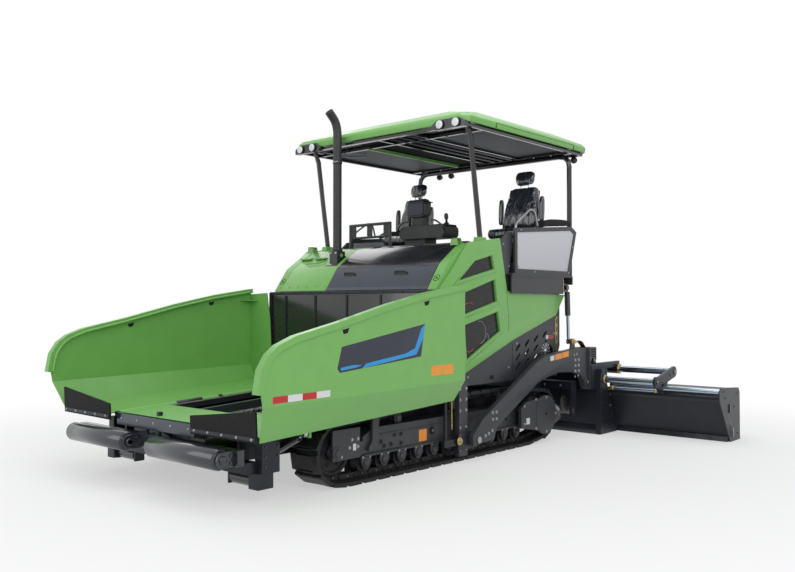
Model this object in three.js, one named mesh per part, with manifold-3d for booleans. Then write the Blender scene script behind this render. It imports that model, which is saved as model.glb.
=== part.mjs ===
// Tracked asphalt paver with a folding hopper and an extending screed.
// Millimetres. +Z up, the hopper faces -Y, the screed is at +Y, +X is the machine's left.
import * as THREE from 'three';
import { mergeVertices } from 'three/addons/utils/BufferGeometryUtils.js';
import { ConvexGeometry } from 'three/addons/geometries/ConvexGeometry.js';
import Module from 'manifold-3d';

const wasm = await Module();
wasm.setup();

// ---------------------------------------------------------------- driving dimensions
const trackInner = 930;        // inner edge of the shoes
const trackOuter = 1250;       // outer edge of the shoes
const idlerY = -2180;          // front idler axle
const idlerZ = 300;
const driveY = 1121;           // sprocket axle
const driveZ = 330;
const loopRadius = 290;        // outside of the shoes round the idler and the sprocket
const shoePitch = 190;
const wall = 10;               // hopper and body plate
const hopperFront = -3262;     // front edge of the hopper wings
const hopperRear = -872;       // rear edge of the hopper wings
const hingeX = 645;            // fold line of each wing
const hingeZ = 585;            // its height at hopperFront
const floorSlope = 0.0529;     // rise of the hopper floor per millimetre to the rear
const pushY = -3367;           // push roller axle
const pushZ = 398;
const pushRadius = 85;
const bodyX = 1250;            // outside of the side bodies
const platformZ = 1945;        // operator's floor
const roofZ = 3490;            // lower edge of the roof
const armX = [1336, 1396];     // tow arm plates
const towY = -340;             // tow point
const towZ = 215;
const screedHalf = 1500;       // half width of the basic screed
const extReach = 1390;         // how far each extension is drawn out
const seat = 0.4;              // gap where one piece rests on another

// ---------------------------------------------------------------- solids
const solid = (geometry) => {
  const g = geometry.clone();
  for (const key of ['normal', 'uv', 'uv1']) g.deleteAttribute(key);
  const m = mergeVertices(g, 1e-4);
  return new wasm.Manifold(new wasm.Mesh({
    numProp: 3,
    vertProperties: new Float32Array(m.attributes.position.array),
    triVerts: new Uint32Array(m.index.array),
  }));
};
const geometryOf = (body) => {
  const mesh = body.getMesh();
  const g = new THREE.BufferGeometry();
  g.setAttribute('position', new THREE.BufferAttribute(new Float32Array(mesh.vertProperties), 3));
  g.setIndex(new THREE.BufferAttribute(new Uint32Array(mesh.triVerts), 1));
  const flat = g.toNonIndexed();
  flat.computeVertexNormals();
  return flat;
};
const join = (...parts) => parts.flat(9).reduce((a, b) => a.add(b));
const cut = (a, ...parts) => parts.flat(9).reduce((x, b) => x.subtract(b), a);
const basis = (x, y, z, o) => new THREE.Matrix4().makeBasis(
  new THREE.Vector3(...x), new THREE.Vector3(...y), new THREE.Vector3(...z)).setPosition(...o);
const outline = (pts) => {
  const area = pts.reduce((s, p, i) => {
    const q = pts[(i + 1) % pts.length];
    return s + p[0] * q[1] - q[0] * p[1];
  }, 0);
  const ring = area < 0 ? [...pts].reverse() : pts;
  return new THREE.Shape(ring.map(([a, b]) => new THREE.Vector2(a, b)));
};
const prism = (pts, depth, matrix) => solid(new THREE.ExtrudeGeometry(outline(pts),
  { depth, bevelEnabled: false, curveSegments: 12 }).applyMatrix4(matrix));
// a [y, z] outline drawn along X, an [x, z] outline along Y, an [x, y] outline along Z
const alongX = (pts, x0, x1) => prism(pts, x1 - x0, basis([0, 1, 0], [0, 0, 1], [1, 0, 0], [x0, 0, 0]));
const alongY = (pts, y0, y1) => prism(pts, y1 - y0, basis([1, 0, 0], [0, 0, 1], [0, -1, 0], [0, y1, 0]));
const alongZ = (pts, z0, z1) => prism(pts, z1 - z0, basis([1, 0, 0], [0, 1, 0], [0, 0, 1], [0, 0, z0]));
const box = (x0, x1, y0, y1, z0, z1) => solid(new THREE.BoxGeometry(x1 - x0, y1 - y0, z1 - z0)
  .translate((x0 + x1) / 2, (y0 + y1) / 2, (z0 + z1) / 2));
const rod = (p, q, r, n = 12) => {
  const a = new THREE.Vector3(...p);
  const b = new THREE.Vector3(...q);
  const turn = new THREE.Quaternion().setFromUnitVectors(
    new THREE.Vector3(0, 1, 0), b.clone().sub(a).normalize());
  return solid(new THREE.CylinderGeometry(r, r, a.distanceTo(b), n)
    .applyQuaternion(turn).translate(...a.add(b).multiplyScalar(0.5).toArray()));
};
const hull = (pts) => solid(new ConvexGeometry(pts.map((p) => new THREE.Vector3(...p))));
// a flat quadrilateral given a thickness vector
const slab = (corners, t) => hull([...corners, ...corners.map((c) => c.map((v, i) => v + t[i]))]);
// a band of thickness t on the left of an open line
const band = (pts, t) => {
  const side = pts.map((p, i) => {
    const a = pts[Math.max(i - 1, 0)];
    const b = pts[Math.min(i + 1, pts.length - 1)];
    const n1 = i > 0 ? [-(p[1] - a[1]), p[0] - a[0]] : [-(b[1] - p[1]), b[0] - p[0]];
    const n2 = i < pts.length - 1 ? [-(b[1] - p[1]), b[0] - p[0]] : n1;
    const l1 = Math.hypot(...n1);
    const l2 = Math.hypot(...n2);
    const u = [n1[0] / l1 + n2[0] / l2, n1[1] / l1 + n2[1] / l2];
    const k = 2 / (u[0] * u[0] + u[1] * u[1]);
    return [p[0] + u[0] * k * t, p[1] + u[1] * k * t];
  });
  return [...pts, ...side.reverse()];
};
// a tube with mitred bends
const bent = (pts, r, n = 8) => {
  const knots = pts.map((p) => new THREE.Vector3(...p));
  return join(knots.slice(0, -1).map((a, i) => {
    const b = knots[i + 1];
    const over = b.clone().sub(a).setLength(r * 0.5);
    return rod((i > 0 ? a.clone().sub(over) : a).toArray(),
      (i < knots.length - 2 ? b.clone().add(over) : b).toArray(), r, n);
  }));
};
const mirror = (body) => body.mirror([1, 0, 0]);

// ---------------------------------------------------------------- paints and materials
const paint = (color, roughness, metalness = 0) => new THREE.MeshStandardMaterial(
  { color, roughness, metalness });
const look = {
  green: paint(0x7fc955, 0.35), grey: paint(0x3b3c42, 0.5), black: paint(0x1a1b1e, 0.35),
  steel: paint(0x77787c, 0.35, 0.8), chrome: paint(0xd8d8dc, 0.12, 1), track: paint(0x2a2b2e, 0.6, 0.4),
  rubber: paint(0x191919, 0.85), vinyl: paint(0x151618, 0.6), glass: paint(0xe6ebee, 0.2),
  worn: paint(0x55565a, 0.5, 0.7),
};
const paver = new THREE.Group();
paver.name = 'asphalt_paver';
const put = (name, body, finish) => {
  const mesh = new THREE.Mesh(geometryOf(body), finish);
  mesh.name = name;
  paver.add(mesh);
};
const pair = (name, body, finish) => {
  put(`${name}_left`, body, finish);
  put(`${name}_right`, mirror(body), finish);
};

// ---------------------------------------------------------------- tracks
const circle = (y, z, r, from, to, n) => Array.from({ length: n + 1 }, (_, i) => {
  const a = (from + (to - from) * i / n) * Math.PI / 180;
  return [y + r * Math.cos(a), z + r * Math.sin(a)];
});
// the loop's outline, inset by d from the tips of the shoes
const loop = (d) => [
  ...circle(idlerY, idlerZ, loopRadius - d, 270, 95, 12),
  [-1300, 640 - d], [-450, 690 - d], [400, 690 - d],
  ...circle(driveY, driveZ, loopRadius - d, 80, -70, 11),
  [850, d], [-2050, d],
];
const resample = (pts, pitch) => {
  const ring = [...pts, pts[0]];
  const lengths = ring.slice(1).map((p, i) => Math.hypot(p[0] - ring[i][0], p[1] - ring[i][1]));
  const total = lengths.reduce((a, b) => a + b, 0);
  const count = Math.round(total / pitch);
  return Array.from({ length: count }, (_, k) => {
    let s = k * total / count;
    let i = 0;
    while (s > lengths[i]) { s -= lengths[i]; i += 1; }
    const [a, b] = [ring[i], ring[i + 1]];
    const u = [(b[0] - a[0]) / lengths[i], (b[1] - a[1]) / lengths[i]];
    return { p: [a[0] + u[0] * s, a[1] + u[1] * s], u };
  });
};
// each shoe stands 14 mm proud of the band, with a narrow gap to the next
const shoes = [];
for (const { p: [y, z], u: [a, b] } of resample(loop(14), shoePitch)) {
  const out = loopLeft => [b * loopLeft, -a * loopLeft];
  const at = (along, up) => {
    const n = out(-up);
    return [y + a * along + n[0], z + b * along + n[1]];
  };
  shoes.push([at(-70, -2), at(-62, 13), at(62, 13), at(70, -2)]);
}
const shoeBand = cut(alongX(loop(14), trackInner, trackOuter),
  alongX(loop(38), trackInner - 5, trackOuter + 5));
const shoeBlocks = shoes.map((s) => alongX(s, trackInner, trackOuter));
const chain = cut(alongX(loop(30), 1050, 1130), alongX(loop(80), 1040, 1140));
pair('track', cut(join(shoeBand, shoeBlocks, chain), box(900, 1300, -3000, 2000, -60, 0)), look.track);

// roller frame: beam, front yoke, track rollers and carriers on their brackets
const rollerY = Array.from({ length: 11 }, (_, i) => -1790 + i * 246.4);
const carriers = [[-1300, 640], [-450, 690], [400, 690]];
const rollers = rollerY.map((y) => [
  rod([1042, y, 155.6], [1138, y, 155.6], 75, 12), box(1010, 1170, y - 40, y + 40, 130, 218),
]);
const carrierWheels = carriers.map(([y, top]) => [
  rod([1052, y, top - 130.6], [1128, y, top - 130.6], 50, 10), box(1020, 1100, y - 26, y + 26, 440, top - 130),
]);
const yoke = [[990, 1014], [1166, 1190]].map(([a, b]) => box(a, b, -2240, -1820, 236, 364));
const idler = join(rod([1048, idlerY, idlerZ], [1132, idlerY, idlerZ], loopRadius - 84, 20),
  rod([984, idlerY, idlerZ], [1200, idlerY, idlerZ], 35, 8));
const beam = alongX([[-1840, 216], [860, 216], [860, 400], [700, 470], [-1700, 470], [-1840, 400]], 990, 1190);
pair('roller_frame', join(beam, yoke, idler, rollers, carrierWheels, box(1189, 1214, -2240, -1900, 232, 500)),
  look.grey);

// sprocket on its motor case, and the guard outside it
const teeth = Array.from({ length: 26 }, (_, i) => {
  const r = loopRadius - 84 - (i % 2 ? 16 : 0);
  return [driveY + r * Math.cos(i * Math.PI / 13), driveZ + r * Math.sin(i * Math.PI / 13)];
});
const sprocket = join(alongX(teeth, 1056, 1124), rod([930, driveY, driveZ], [1262, driveY, driveZ], 150, 12),
  rod([875 + seat, driveY, driveZ], [940, driveY, driveZ], 120, 12));
const guardFace = join(
  alongX(circle(driveY, 322, 225, 0, 360, 20).slice(1), 1258, 1300),
  alongX([[600, 215], [driveY, 130], [driveY, 530], [700, 500], [600, 440]], 1258, 1300));
pair('final_drive', join(sprocket, guardFace), look.grey);

// ---------------------------------------------------------------- chassis
const tubSide = [[-2985, 300], [1480, 300], [1480, 985], [-790, 985], [-790, 684], [-2985, 568]];
const axles = [-1400, 300].map((y) => box(874, 990 - seat, y - 60, y + 60, 250, 410));
// the wing cylinder swings square to the wing's fold line, which rises to the rear
const base = [912, -2690, 330];
const eye = [1350, base[1] - floorSlope * (545 - base[2]), 545];
const foldLine = [0, 1, floorSlope].map((v) => v / Math.hypot(1, floorSlope));
const beside = (p, d) => p.map((v, i) => v + foldLine[i] * d);
const foot = join(box(874, 946, base[1] + 24, base[1] + 46, 302, 364),
  rod(beside(base, 12.8), beside(base, 30), 22, 12));
put('main_frame', join(
  [1, -1].map((s) => { const a = alongX(tubSide, 850, 875); return s > 0 ? a : mirror(a); }),
  box(-875, 875, -2985, 1480, 300, 316), box(-875, 875, -790, 1480, 970, 986),
  box(-875, 875, -2985, -2960, 300, 358), box(-12, 12, -790, 1330, 300, 980),
  axles, axles.map(mirror), foot, mirror(foot),
), look.grey);
const nosePin = rod([0, -3175, 302], [0, -3175, 500], 30, 20);
const leg = join(box(1080, 1170, -2985, -2800, 232, 500), box(1030, 1150, -3010, -2850, 105, 236));
const guardRoller = join(rod([740, -2925, 160], [1008, -2925, 160], 55, 20),
  rod([720, -2925, 160], [1028, -2925, 160], 17, 12),
  [[712, 734], [1014, 1036]].map(([a, b]) => box(a, b, -2975, -2875, 105, 250)));
const halfNose = join(box(0, 1100, -3085, -2985 - seat, 232, 330), leg, guardRoller,
  box(700, 1100, -2985.5, -2860, 232, 256));
put('front_bumper', join(halfNose, mirror(halfNose),
  box(-110, 110, -3215, -3080, 290, 316), nosePin), look.grey);

// push beam and its two rollers
const bossHole = rod([0, -3175, 320], [0, -3175, 520], 30.8, 20);
const cheek = (a, b, r = 62) => cut(join(rod([a, pushY, pushZ], [b, pushY, pushZ], r, 12),
  box(a, b, pushY, -3240, pushZ - r, pushZ + r)),
rod([a - 5, pushY, pushZ], [b + 5, pushY, pushZ], 20.8, 24));
const beamHalf = join(box(0, 1210, -3262, -3196, 336, 462), cheek(1146, 1168), cheek(160, 182));
put('push_beam', cut(join(beamHalf, mirror(beamHalf), box(-110, 110, -3262, -3118, 336, 462)),
  bossHole), look.grey);
pair('push_roller', join(rod([190, pushY, pushZ], [1138, pushY, pushZ], pushRadius, 20),
  rod([150, pushY, pushZ], [1176, pushY, pushZ], 20, 12)), look.black);

// ---------------------------------------------------------------- hopper
const rise = (y) => (y - hopperFront) * floorSlope;
const hinge = (y, up = 0) => hingeZ + rise(y) + up;
// centre floor: a ridge, two side rails that carry the hinge pins, and a front apron
const slope = (x0, x1, y0, y1, lo, hi) => alongX([[y0, hinge(y0, lo)], [y1, hinge(y1, lo)],
  [y1, hinge(y1, hi)], [y0, hinge(y0, hi)]], x0, x1);
const lugs = [-3215, -2060, -930].map((y) => join(
  rod([hingeX, y, hinge(y)], [hingeX, y + 30, hinge(y + 30)], 26, 10),
  box(600, hingeX, y, y + 30, hinge(y) - 20, hinge(y) + 12)));
const pinLine = rod([hingeX, -3215, hinge(-3215)], [hingeX, -900, hinge(-900)], 12, 8);
const cross = [-2900, -1900, -950].map((y) => slope(600, 850 - seat, y, y + 60, -50, -34));
const rails = join(slope(566, 606, -3215, -900, -50, 0), lugs, pinLine, cross);
put('hopper_floor', join(rails, mirror(rails),
  hull([-3190, -900].flatMap((y) => [[-40, y, hinge(y) - 45], [40, y, hinge(y) - 45],
    [-24, y, hinge(y) + 28], [24, y, hinge(y) + 28]])),
  box(-606, 606, -3215, -3185, 505, 585)), look.black);
// slat conveyors: closed loops that run back under the platform
const slats = (d) => {
  const top = [[-3030, 497], [-860, 618], [1440, 640]];
  const pts = [...top.map(([y, z]) => [y, z - d]),
    ...circle(1440, 545, 95 - d, 80, -80, 6), [1440, 450 + d], [-3030, 372 + d],
    ...circle(-3030, 434.5, 62.5 - d, -100, -260, 6)];
  return pts;
};
const belt = join(cut(alongX(slats(0), 60, 545), alongX(slats(14), 50, 560)),
  rod([0, 1440, 545], [540, 1440, 545], 82, 12),
  rod([500, 1440, 545], [850 - seat, 1440, 545], 32));
put('conveyor', join(belt, mirror(belt)), look.worn);

const railTop = [[-3363, 926], [-3333, 1093], [-3270, 1188], [-3190, 1246], [-3025, 1308],
  [-2562, 1406], [-1962, 1551], [-1443, 1654], [-930, 1729], [hopperRear, 1734]];
const crease = (y) => 832 + (y + 3300) * 0.0165;
const skirt = (y) => 549 + (y - hopperFront) * 0.0493;
const panel = wall;
const side = alongX([[-3345, crease(-3345)], [hopperRear, crease(hopperRear)],
  ...[...railTop].reverse().slice(0, -1), [-3363, 926]], 1610, 1620);
const tilt = (x, y, z) => [x, y, z];
const bevel = hull([[hopperFront, 0], [hopperRear, 0]].flatMap(([y]) => [
  tilt(1480, y, skirt(y)), tilt(1469, y, skirt(y) + 4),
  tilt(1620, y === hopperFront ? -3345 : y, crease(y)),
  tilt(1609, y === hopperFront ? -3345 : y, crease(y) + 4)]));
const wingFloor = slab([[hingeX + 32, hopperFront, hinge(hopperFront) + 2],
  [1496, hopperFront, hinge(hopperFront) + 2], [1512, hopperRear, hinge(hopperRear) + 2],
  [hingeX + 32, hopperRear, hinge(hopperRear) + 2]], [0, 0, wall]);
const gutter = [[-3175, -2070], [-2020, -940]].map(([a, b]) => cut(join(
  rod([hingeX, a, hinge(a)], [hingeX, b, hinge(b)], 24, 10),
  slab([[hingeX, a, hinge(a) + 2], [hingeX + 40, a, hinge(a) + 2],
    [hingeX + 40, b, hinge(b) + 2], [hingeX, b, hinge(b) + 2]], [0, 0, wall])),
rod([hingeX, a - 9, hinge(a - 9)], [hingeX, b + 9, hinge(b + 9)], 15, 8)));
const rolled = alongX(band(railTop, 52).map(([y, z]) => [y, z]), 1570, 1640);
const rearPanel = alongY([[hingeX + 40, hinge(hopperRear) + 3], [1516, hinge(hopperRear) + 3],
  [1614, crease(hopperRear)], [1614, 1720], [1300, 1734], [1250, 1450], [1215, 960]],
hopperRear - wall, hopperRear);
const eyeLug = join(box(eye[0] - 34, eye[0] + 34, eye[1] + 30, eye[1] + 54, eye[2] - 34, hinge(eye[1]) + 6),
  rod(beside(eye, 24), beside(eye, 50), 22, 12));
pair('hopper_wing', join(side, bevel, wingFloor, gutter, rolled, rearPanel, eyeLug), look.green);
// rubber flaps across the front of the wings
const flap = hull([[628, 540], [1470, 548], [1470, 790], [628, 690]].flatMap(([x, z]) => [
  [x, hopperFront - 26 - (z - 540) * 0.05, z], [x, hopperFront - 10 - (z - 540) * 0.05, z]]));
pair('wing_flap', join(flap, box(700, 1440, hopperFront - 20, hopperFront - seat, 590, 640)), look.rubber);

// fold cylinders, seen from the front under each wing
const cylLength = Math.hypot(...eye.map((v, i) => v - base[i]));
const alongCyl = (mm) => base.map((v, i) => v + (eye[i] - v) * mm / cylLength);
const pinDisc = (p, r, half) => rod(beside(p, -half), beside(p, half), r, 16);
pair('wing_cylinder', cut(join(pinDisc(alongCyl(0), 34, 12), rod(alongCyl(64), alongCyl(420), 40),
  rod(alongCyl(10), alongCyl(70), 11)),
  rod(alongCyl(80), alongCyl(430), 21.9)), look.black);
pair('wing_piston', join(rod(alongCyl(84), alongCyl(cylLength), 21),
  pinDisc(alongCyl(cylLength), 30, 18)), look.chrome);

// black rear wall of the hopper with the two feed openings under it
put('hopper_rear_wall', join(
  cut(alongX([[-844.4, 700], [-844.4, 1745], [-824.4, 1745], [-824.4, 700]], -1290, 1290),
    box(-560, -40, -900, -800, 600, 760), box(40, 560, -900, -800, 600, 760)),
  box(-1215, 1215, -830, -794, 1700, 1722)), look.black);

// ---------------------------------------------------------------- engine, hood and side bodies
put('engine_block', box(-420, 420, -600, 350, 986 + seat, 1640), look.grey);
const hoodLine = [[-824, 1752], [-640, 2010], [-330, 2226], [-30, 2270], [250, 2304]];
const under = (pts, t) => band([...pts].reverse(), t);
const doorX = [-356, 1108];
const hoodSides = join(alongX(under(hoodLine, 12), -1222, doorX[0] - 6),
  alongX(under(hoodLine, 12), doorX[1] + 6, 1222), alongX(under(hoodLine.slice(3), 12), -1222, 1222));
const hoodTop = (y) => {
  const i = hoodLine.findIndex(([a], k) => k > 0 && y <= a);
  const [[a, b], [c, d]] = [hoodLine[i - 1], hoodLine[i]];
  return b + (d - b) * (y - a) / (c - a);
};
const postFoot = alongX([[-70, hoodTop(-70) - 4], [60, hoodTop(60) - 4], [50, 2318], [-60, 2318]], 1132, 1214);
put('hood', join(hoodSides, postFoot, mirror(postFoot),
  box(-1222, 1222, 238, 250, 1940, 2294)), look.green);
const doorLine = [...hoodLine.slice(0, 3), [-30.8, hoodTop(-30.8)]];
put('hood_door', alongX(under(doorLine, 12), doorX[0], doorX[1]), look.black);

const bodyOutline = [[-824, 800], [-824, 1716], [-789, 1752], [-308, 2242], [260, 2321], [400, 1745],
  [1635, 1712], [1437, 1471], [500, 1199], [-352, 896], [-560, 800]];
const windows = [
  [[-488, 1841], [-208, 2052], [105, 2126], [148, 1979]],
  [[-410, 1713], [160, 1868], [199, 1632], [-399, 1488]],
  [[-390, 1382], [212, 1520], [262, 1307], [-352, 1018]],
];
pair('side_body', cut(alongX(bodyOutline, bodyX - 25, bodyX),
  windows.map((w) => alongX(w, bodyX - 30, bodyX + 5))), look.green);
pair('side_grille', alongX([[-560, 950], [-560, 1800], [-250, 2120], [180, 2190], [290, 1700],
  [330, 1290]], bodyX - 35, bodyX - 25 - seat), look.black);

// fenders over the tracks, with a slotted panel behind the green tail
const slots = [];
for (let i = 0; i < 4; i += 1) {
  for (let k = 0; k < 4; k += 1) {
    const [y, z] = [600 + i * 190, 880 + k * 105 + i * 45];
    if (z < 1180 + (y - 500) * 0.29 - 70) {
      slots.push(alongX([[y, z], [y + 18, z - 26], [y + 100, z + 44], [y + 82, z + 70]], 1190, 1240));
    }
  }
}
const fanRing = join(alongX(circle(1330, 1040, 78, 0, 360, 12).slice(1), 1190, 1240));
const fender = cut(join(box(875 + seat, 1224 - seat, -790, 1500, 752, 770),
  alongX([[-790, 752], [440, 752], [1440, 860], [1560, 1100], [1560, 1924.6], [430, 1924.6], [360, 1250],
    [-790, 860]], 1204, 1224 - seat)), slots, fanRing);
const lift = { x: 1293, top: [1620, 1800], eye: [1650, 1150] };   // lift cylinder, [y, z] of its ends
const liftFoot = join(box(1205, 1253, 1550, 1664, 1750, 1850),
  rod([1245, ...lift.top], [1280.2, ...lift.top], 24, 12));
const halfBody = join(fender, liftFoot, box(0, 1210, 1500, 1520, 1000, 1924.6));
put('body_frame', join(halfBody, mirror(halfBody)), look.grey);

// ---------------------------------------------------------------- operator's platform
const deckRear = 1890;
const deck = join(box(-1220, 1220, 262, deckRear, platformZ - 20, platformZ),
  box(-1300, 1300, 430, 1690, platformZ - 20, platformZ),
  [1, -1].map((s) => { const a = box(1270, 1290, 430, 1540, 1722, 1930); return s > 0 ? a : mirror(a); }),
  box(-1220, 1220, 251 + seat, 266, platformZ - 20, 2290),
  box(-1220, 1220, deckRear - 20, deckRear, platformZ - 105, platformZ - 15));
const screenRing = [[500, platformZ - 4], [1690, platformZ - 4], [1862, 2485], [1740, 2547], [500, 2447]];
const screenHole = [[548, 1995], [1655, 1995], [1806, 2462], [1722, 2497], [548, 2402]];
const shrink = [[549, 1996], [1654, 1996], [1805, 2461], [1721, 2496], [549, 2401]];
const screenFrame = cut(alongX(screenRing, 1262, 1290), alongX(screenHole, 1255, 1300));
pair('screen_pane', alongX(shrink.map(([y, z]) => [y + (y < 1000 ? -0.5 : 0.5),
  z + (z < 2200 ? -0.5 : 0.5)]), 1272, 1280), look.glass);
const seatX = 850;
const seatBase = join(box(seatX - 170, seatX + 170, 900, 1330, platformZ - 4, 2090),
  box(seatX - 90, seatX + 90, 980, 1260, 2085, 2340), box(seatX - 200, seatX + 200, 880, 1330, 2320, 2370));
const seatBack = hull([[1240, 2480, 230], [1330, 2480, 230], [1340, 3040, 200], [1410, 3040, 200]].flatMap(
  ([y, z, w]) => [[seatX - w, y, z], [seatX + w, y, z]]));
pair('seat', join(hull([[860, 2370 + seat, 215], [1320, 2370 + seat, 215], [840, 2440, 240], [1330, 2480, 240],
  [860, 2490, 225]].flatMap(([y, z, w]) => [[seatX - w, y, z], [seatX + w, y, z]])), seatBack,
hull([[1230, 2440], [1370, 2440], [1260, 2520], [1350, 2560]].flatMap(([y, z]) => [[seatX - 225, y, z],
  [seatX + 225, y, z]])), hull([[1345, 3030], [1415, 3030], [1372, 3245], [1440, 3245]].flatMap(
  ([y, z]) => [[seatX - 120, y, z], [seatX + 120, y, z]])),
[1, -1].map((s) => box(seatX + s * 285 - 32, seatX + s * 285 + 32, 1262, 1346, 2560, 2920)),
[1, -1].map((s) => box(seatX + s * 245 - 45, seatX + s * 245 + 45, 1275, 1330, 2520, 2585))), look.vinyl);
put('console', join(box(-260, 60, 420, 640, platformZ + seat, 2000), box(-180, -20, 470, 590, 1995, 2500),
  alongX([[360, 2480], [660, 2480], [690, 2640], [420, 2760], [360, 2700]], -330, 130),
  box(-150, 30, 455, 475, 2700, 2900)), look.black);
const rail = (x0, x1, y, low, high, r) => join(
  bent([[x0, y, platformZ - 4], [x0, y, high], [x1, y, high], [x1, y, platformZ - 4]], r, 8),
  bent([[x0, y, low], [x1, y, low]], r - 3, 8));
put('platform', join(deck, screenFrame, mirror(screenFrame), seatBase, mirror(seatBase),
  rail(-1100, -420, 330, 2440, 2600, 19), rail(-1000, 1000, 1790, 2200, 2400, 19)), look.grey);

// ---------------------------------------------------------------- canopy and exhaust
const ring = (x, y0, y1, z, c) => [[x - c, y0], [x, y0 + c], [x, y1 - c], [x - c, y1]].flatMap(
  ([a, b]) => [[a, b, z], [-a, b, z]]);
const roofOuter = hull([...ring(1310, -425, 2110, roofZ, 60), ...ring(1320, -430, 2120, roofZ + 60, 70),
  ...ring(1290, -400, 2090, roofZ + 100, 90), ...ring(1080, -150, 1880, roofZ + 205, 200)]);
const roofInner = hull([...ring(1297, -412, 2097, roofZ - 5, 60), ...ring(1307, -417, 2107, roofZ + 58, 70),
  ...ring(1277, -387, 2077, roofZ + 90, 90), ...ring(1070, -142, 1872, roofZ + 192, 200)]);
const podX = [[1130, -352], [940, -362]];
put('roof', cut(roofOuter, roofInner), look.green);
const lining = hull([...ring(1296.5, -411.5, 2096.5, roofZ + 8, 60),
  ...ring(1298, -412, 2098, roofZ + 22, 60)]).subtract(box(-2000, 2000, -2000, 3000, roofZ + 22, roofZ + 60));
const frontPost = bent([[1172, -5, 2318 + seat], [1172, -92, 2875], [1172, -166, 3358],
  [1172, -230, roofZ + 14]], 29, 8).subtract(box(1000, 1300, -400, 200, 2200, 2318 + seat));
const bowY = 1850;             // the rear posts and the bow between them are one bent tube
const bowZ = roofZ - 50;
const halfBow = [[1200, bowY, platformZ + seat], [1200, bowY, bowZ - 140], [1186, bowY, bowZ - 66],
  [1134, bowY, bowZ - 14], [1060, bowY, bowZ]];
const rearBow = join(bent([...halfBow, ...[...halfBow].reverse().map(([x, y, z]) => [-x, y, z])], 32, 8),
  [700, -700].map((x) => box(x - 30, x + 30, bowY - 12, bowY + 12, bowZ, roofZ + 14))).subtract(
  box(-1300, 1300, bowY - 60, bowY + 60, 1800, platformZ + seat));
const trim = (post) => post.subtract(box(1000, 1300, -600, 2200, roofZ + 20, roofZ + 100));
const post = trim(frontPost);
put('canopy_frame', join(lining, post, mirror(post), rearBow), look.black);
const pipe = { x: -500, y: -500 };
put('exhaust', join(alongX([[-565, hoodTop(-565) + seat], [-435, hoodTop(-435) + seat], [-435, 2215],
  [-565, 2215]], pipe.x - 60, pipe.x + 60),
bent([[pipe.x, pipe.y, 2200], [pipe.x, pipe.y, 3640], [pipe.x - 4, pipe.y - 40, 3740],
  [pipe.x - 10, pipe.y - 130, 3812]], 40, 14)), look.black);

// ---------------------------------------------------------------- tow points and tow arms
const column = join(box(1256, 1300, -560, -405, 60, 800), box(1224 + seat, 1258, -560, -405, 755, 800));
const levelY = -760;
const levelBarrel = cut(rod([1290, levelY, 640], [1290, levelY, 1110], 31, 12),
  rod([1290, levelY, 630], [1290, levelY, 1120], 23, 12));
const levelClamp = box(1250 + seat, 1268, levelY - 20, levelY + 20, 1000, 1060);
const clampBar = box(1251, 1262, levelY - 30, -500, 770, 800);
pair('tow_column', join(column, levelBarrel, levelClamp, clampBar), look.grey);
const shuttle = join(box(1306, 1330, -600, -280, 130, 300), box(1262, 1330, -600, -560.8, 130, 300),
  box(1262, 1330, -399, -372, 130, 300), box(1270, 1312, -800, -590, 180, 250),
  rod([1290, levelY, 240], [1290, levelY, 820], 19, 12), rod([1320, towY, towZ], [1400, towY, towZ], 24, 12));
pair('tow_shuttle', shuttle, look.steel);
const armOutline = [[-430, 165], [-440, 262], [-271, 413], [770, 947], [930, 1000], [1189, 1038], [1725, 1076],
  [1925, 1066], [1925, 560], [1850, 600], [1780, 740], [1555, 795], [1250, 806], [1098, 788], [790, 716],
  [20, 330], [-33, 280], [-70, 190]];
const liftPin = rod([1313, ...lift.eye], [1340, ...lift.eye], 22, 16);
pair('tow_arm', join(cut(alongX(armOutline, ...armX), rod([armX[0] - 5, towY, towZ], [armX[1] + 5, towY, towZ],
  27, 18)), liftPin, alongX([[1590, 1060], [1710, 1066], [1680, 1186], [1620, 1186]], 1336, 1352),
box(1300, 1430, 1924, 1946, 556, 1066)), look.grey);

// lift cylinders: their rods hold the arms from outside the inner face
const liftLine = (d) => {
  const [a, b] = [lift.top, lift.eye];
  const n = Math.hypot(b[0] - a[0], b[1] - a[1]);
  return [lift.x, a[0] + (b[0] - a[0]) * d / n, a[1] + (b[1] - a[1]) * d / n];
};
const liftLength = Math.hypot(lift.eye[0] - lift.top[0], lift.eye[1] - lift.top[1]);
const flatEye = ([x, y, z], r, half) => rod([x - half, y, z], [x + half, y, z], r, 16);
pair('lift_cylinder', cut(join(flatEye(liftLine(0), 32, 12), rod(liftLine(50), liftLine(338), 34),
  rod(liftLine(10), liftLine(56), 11)),
  rod(liftLine(70), liftLine(345), 21.6)), look.black);
pair('lift_piston', join(rod(liftLine(300), liftLine(liftLength), 20, 12),
  flatEye(liftLine(liftLength), 32, 15)), look.chrome);

// ---------------------------------------------------------------- screed
const tubes = { mid: [2170, 672], rear: [2670, 770], low: [2335, 592] };
const sleeveEnd = 1440;
const mainOutline = [[2075, 14], [2075, 800], [2236, 800], [2236, 610], [2262, 540], [2470, 60], [2470, 14]];
const mainInner = [[2087, 26], [2087, 788], [2224, 788], [2224, 606], [2251, 535], [2455, 60], [2455, 26]];
const endPlate = alongX([[2050, 0], [2050, 640], [2095, 800], [2236, 800], [2236, 610], [2262, 545],
  [2485, 50], [2485, 0]], sleeveEnd, screedHalf);
const tubeHole = rod([-1510, ...tubes.mid], [1510, ...tubes.mid], 41.8, 12);
const shell = join(cut(alongX(mainOutline, -sleeveEnd - 5, sleeveEnd + 5),
  alongX(mainInner, -sleeveEnd, sleeveEnd)), endPlate, mirror(endPlate));
const sole = box(-sleeveEnd - 5, sleeveEnd + 5, 2065, 2478, 0, 16);
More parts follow.
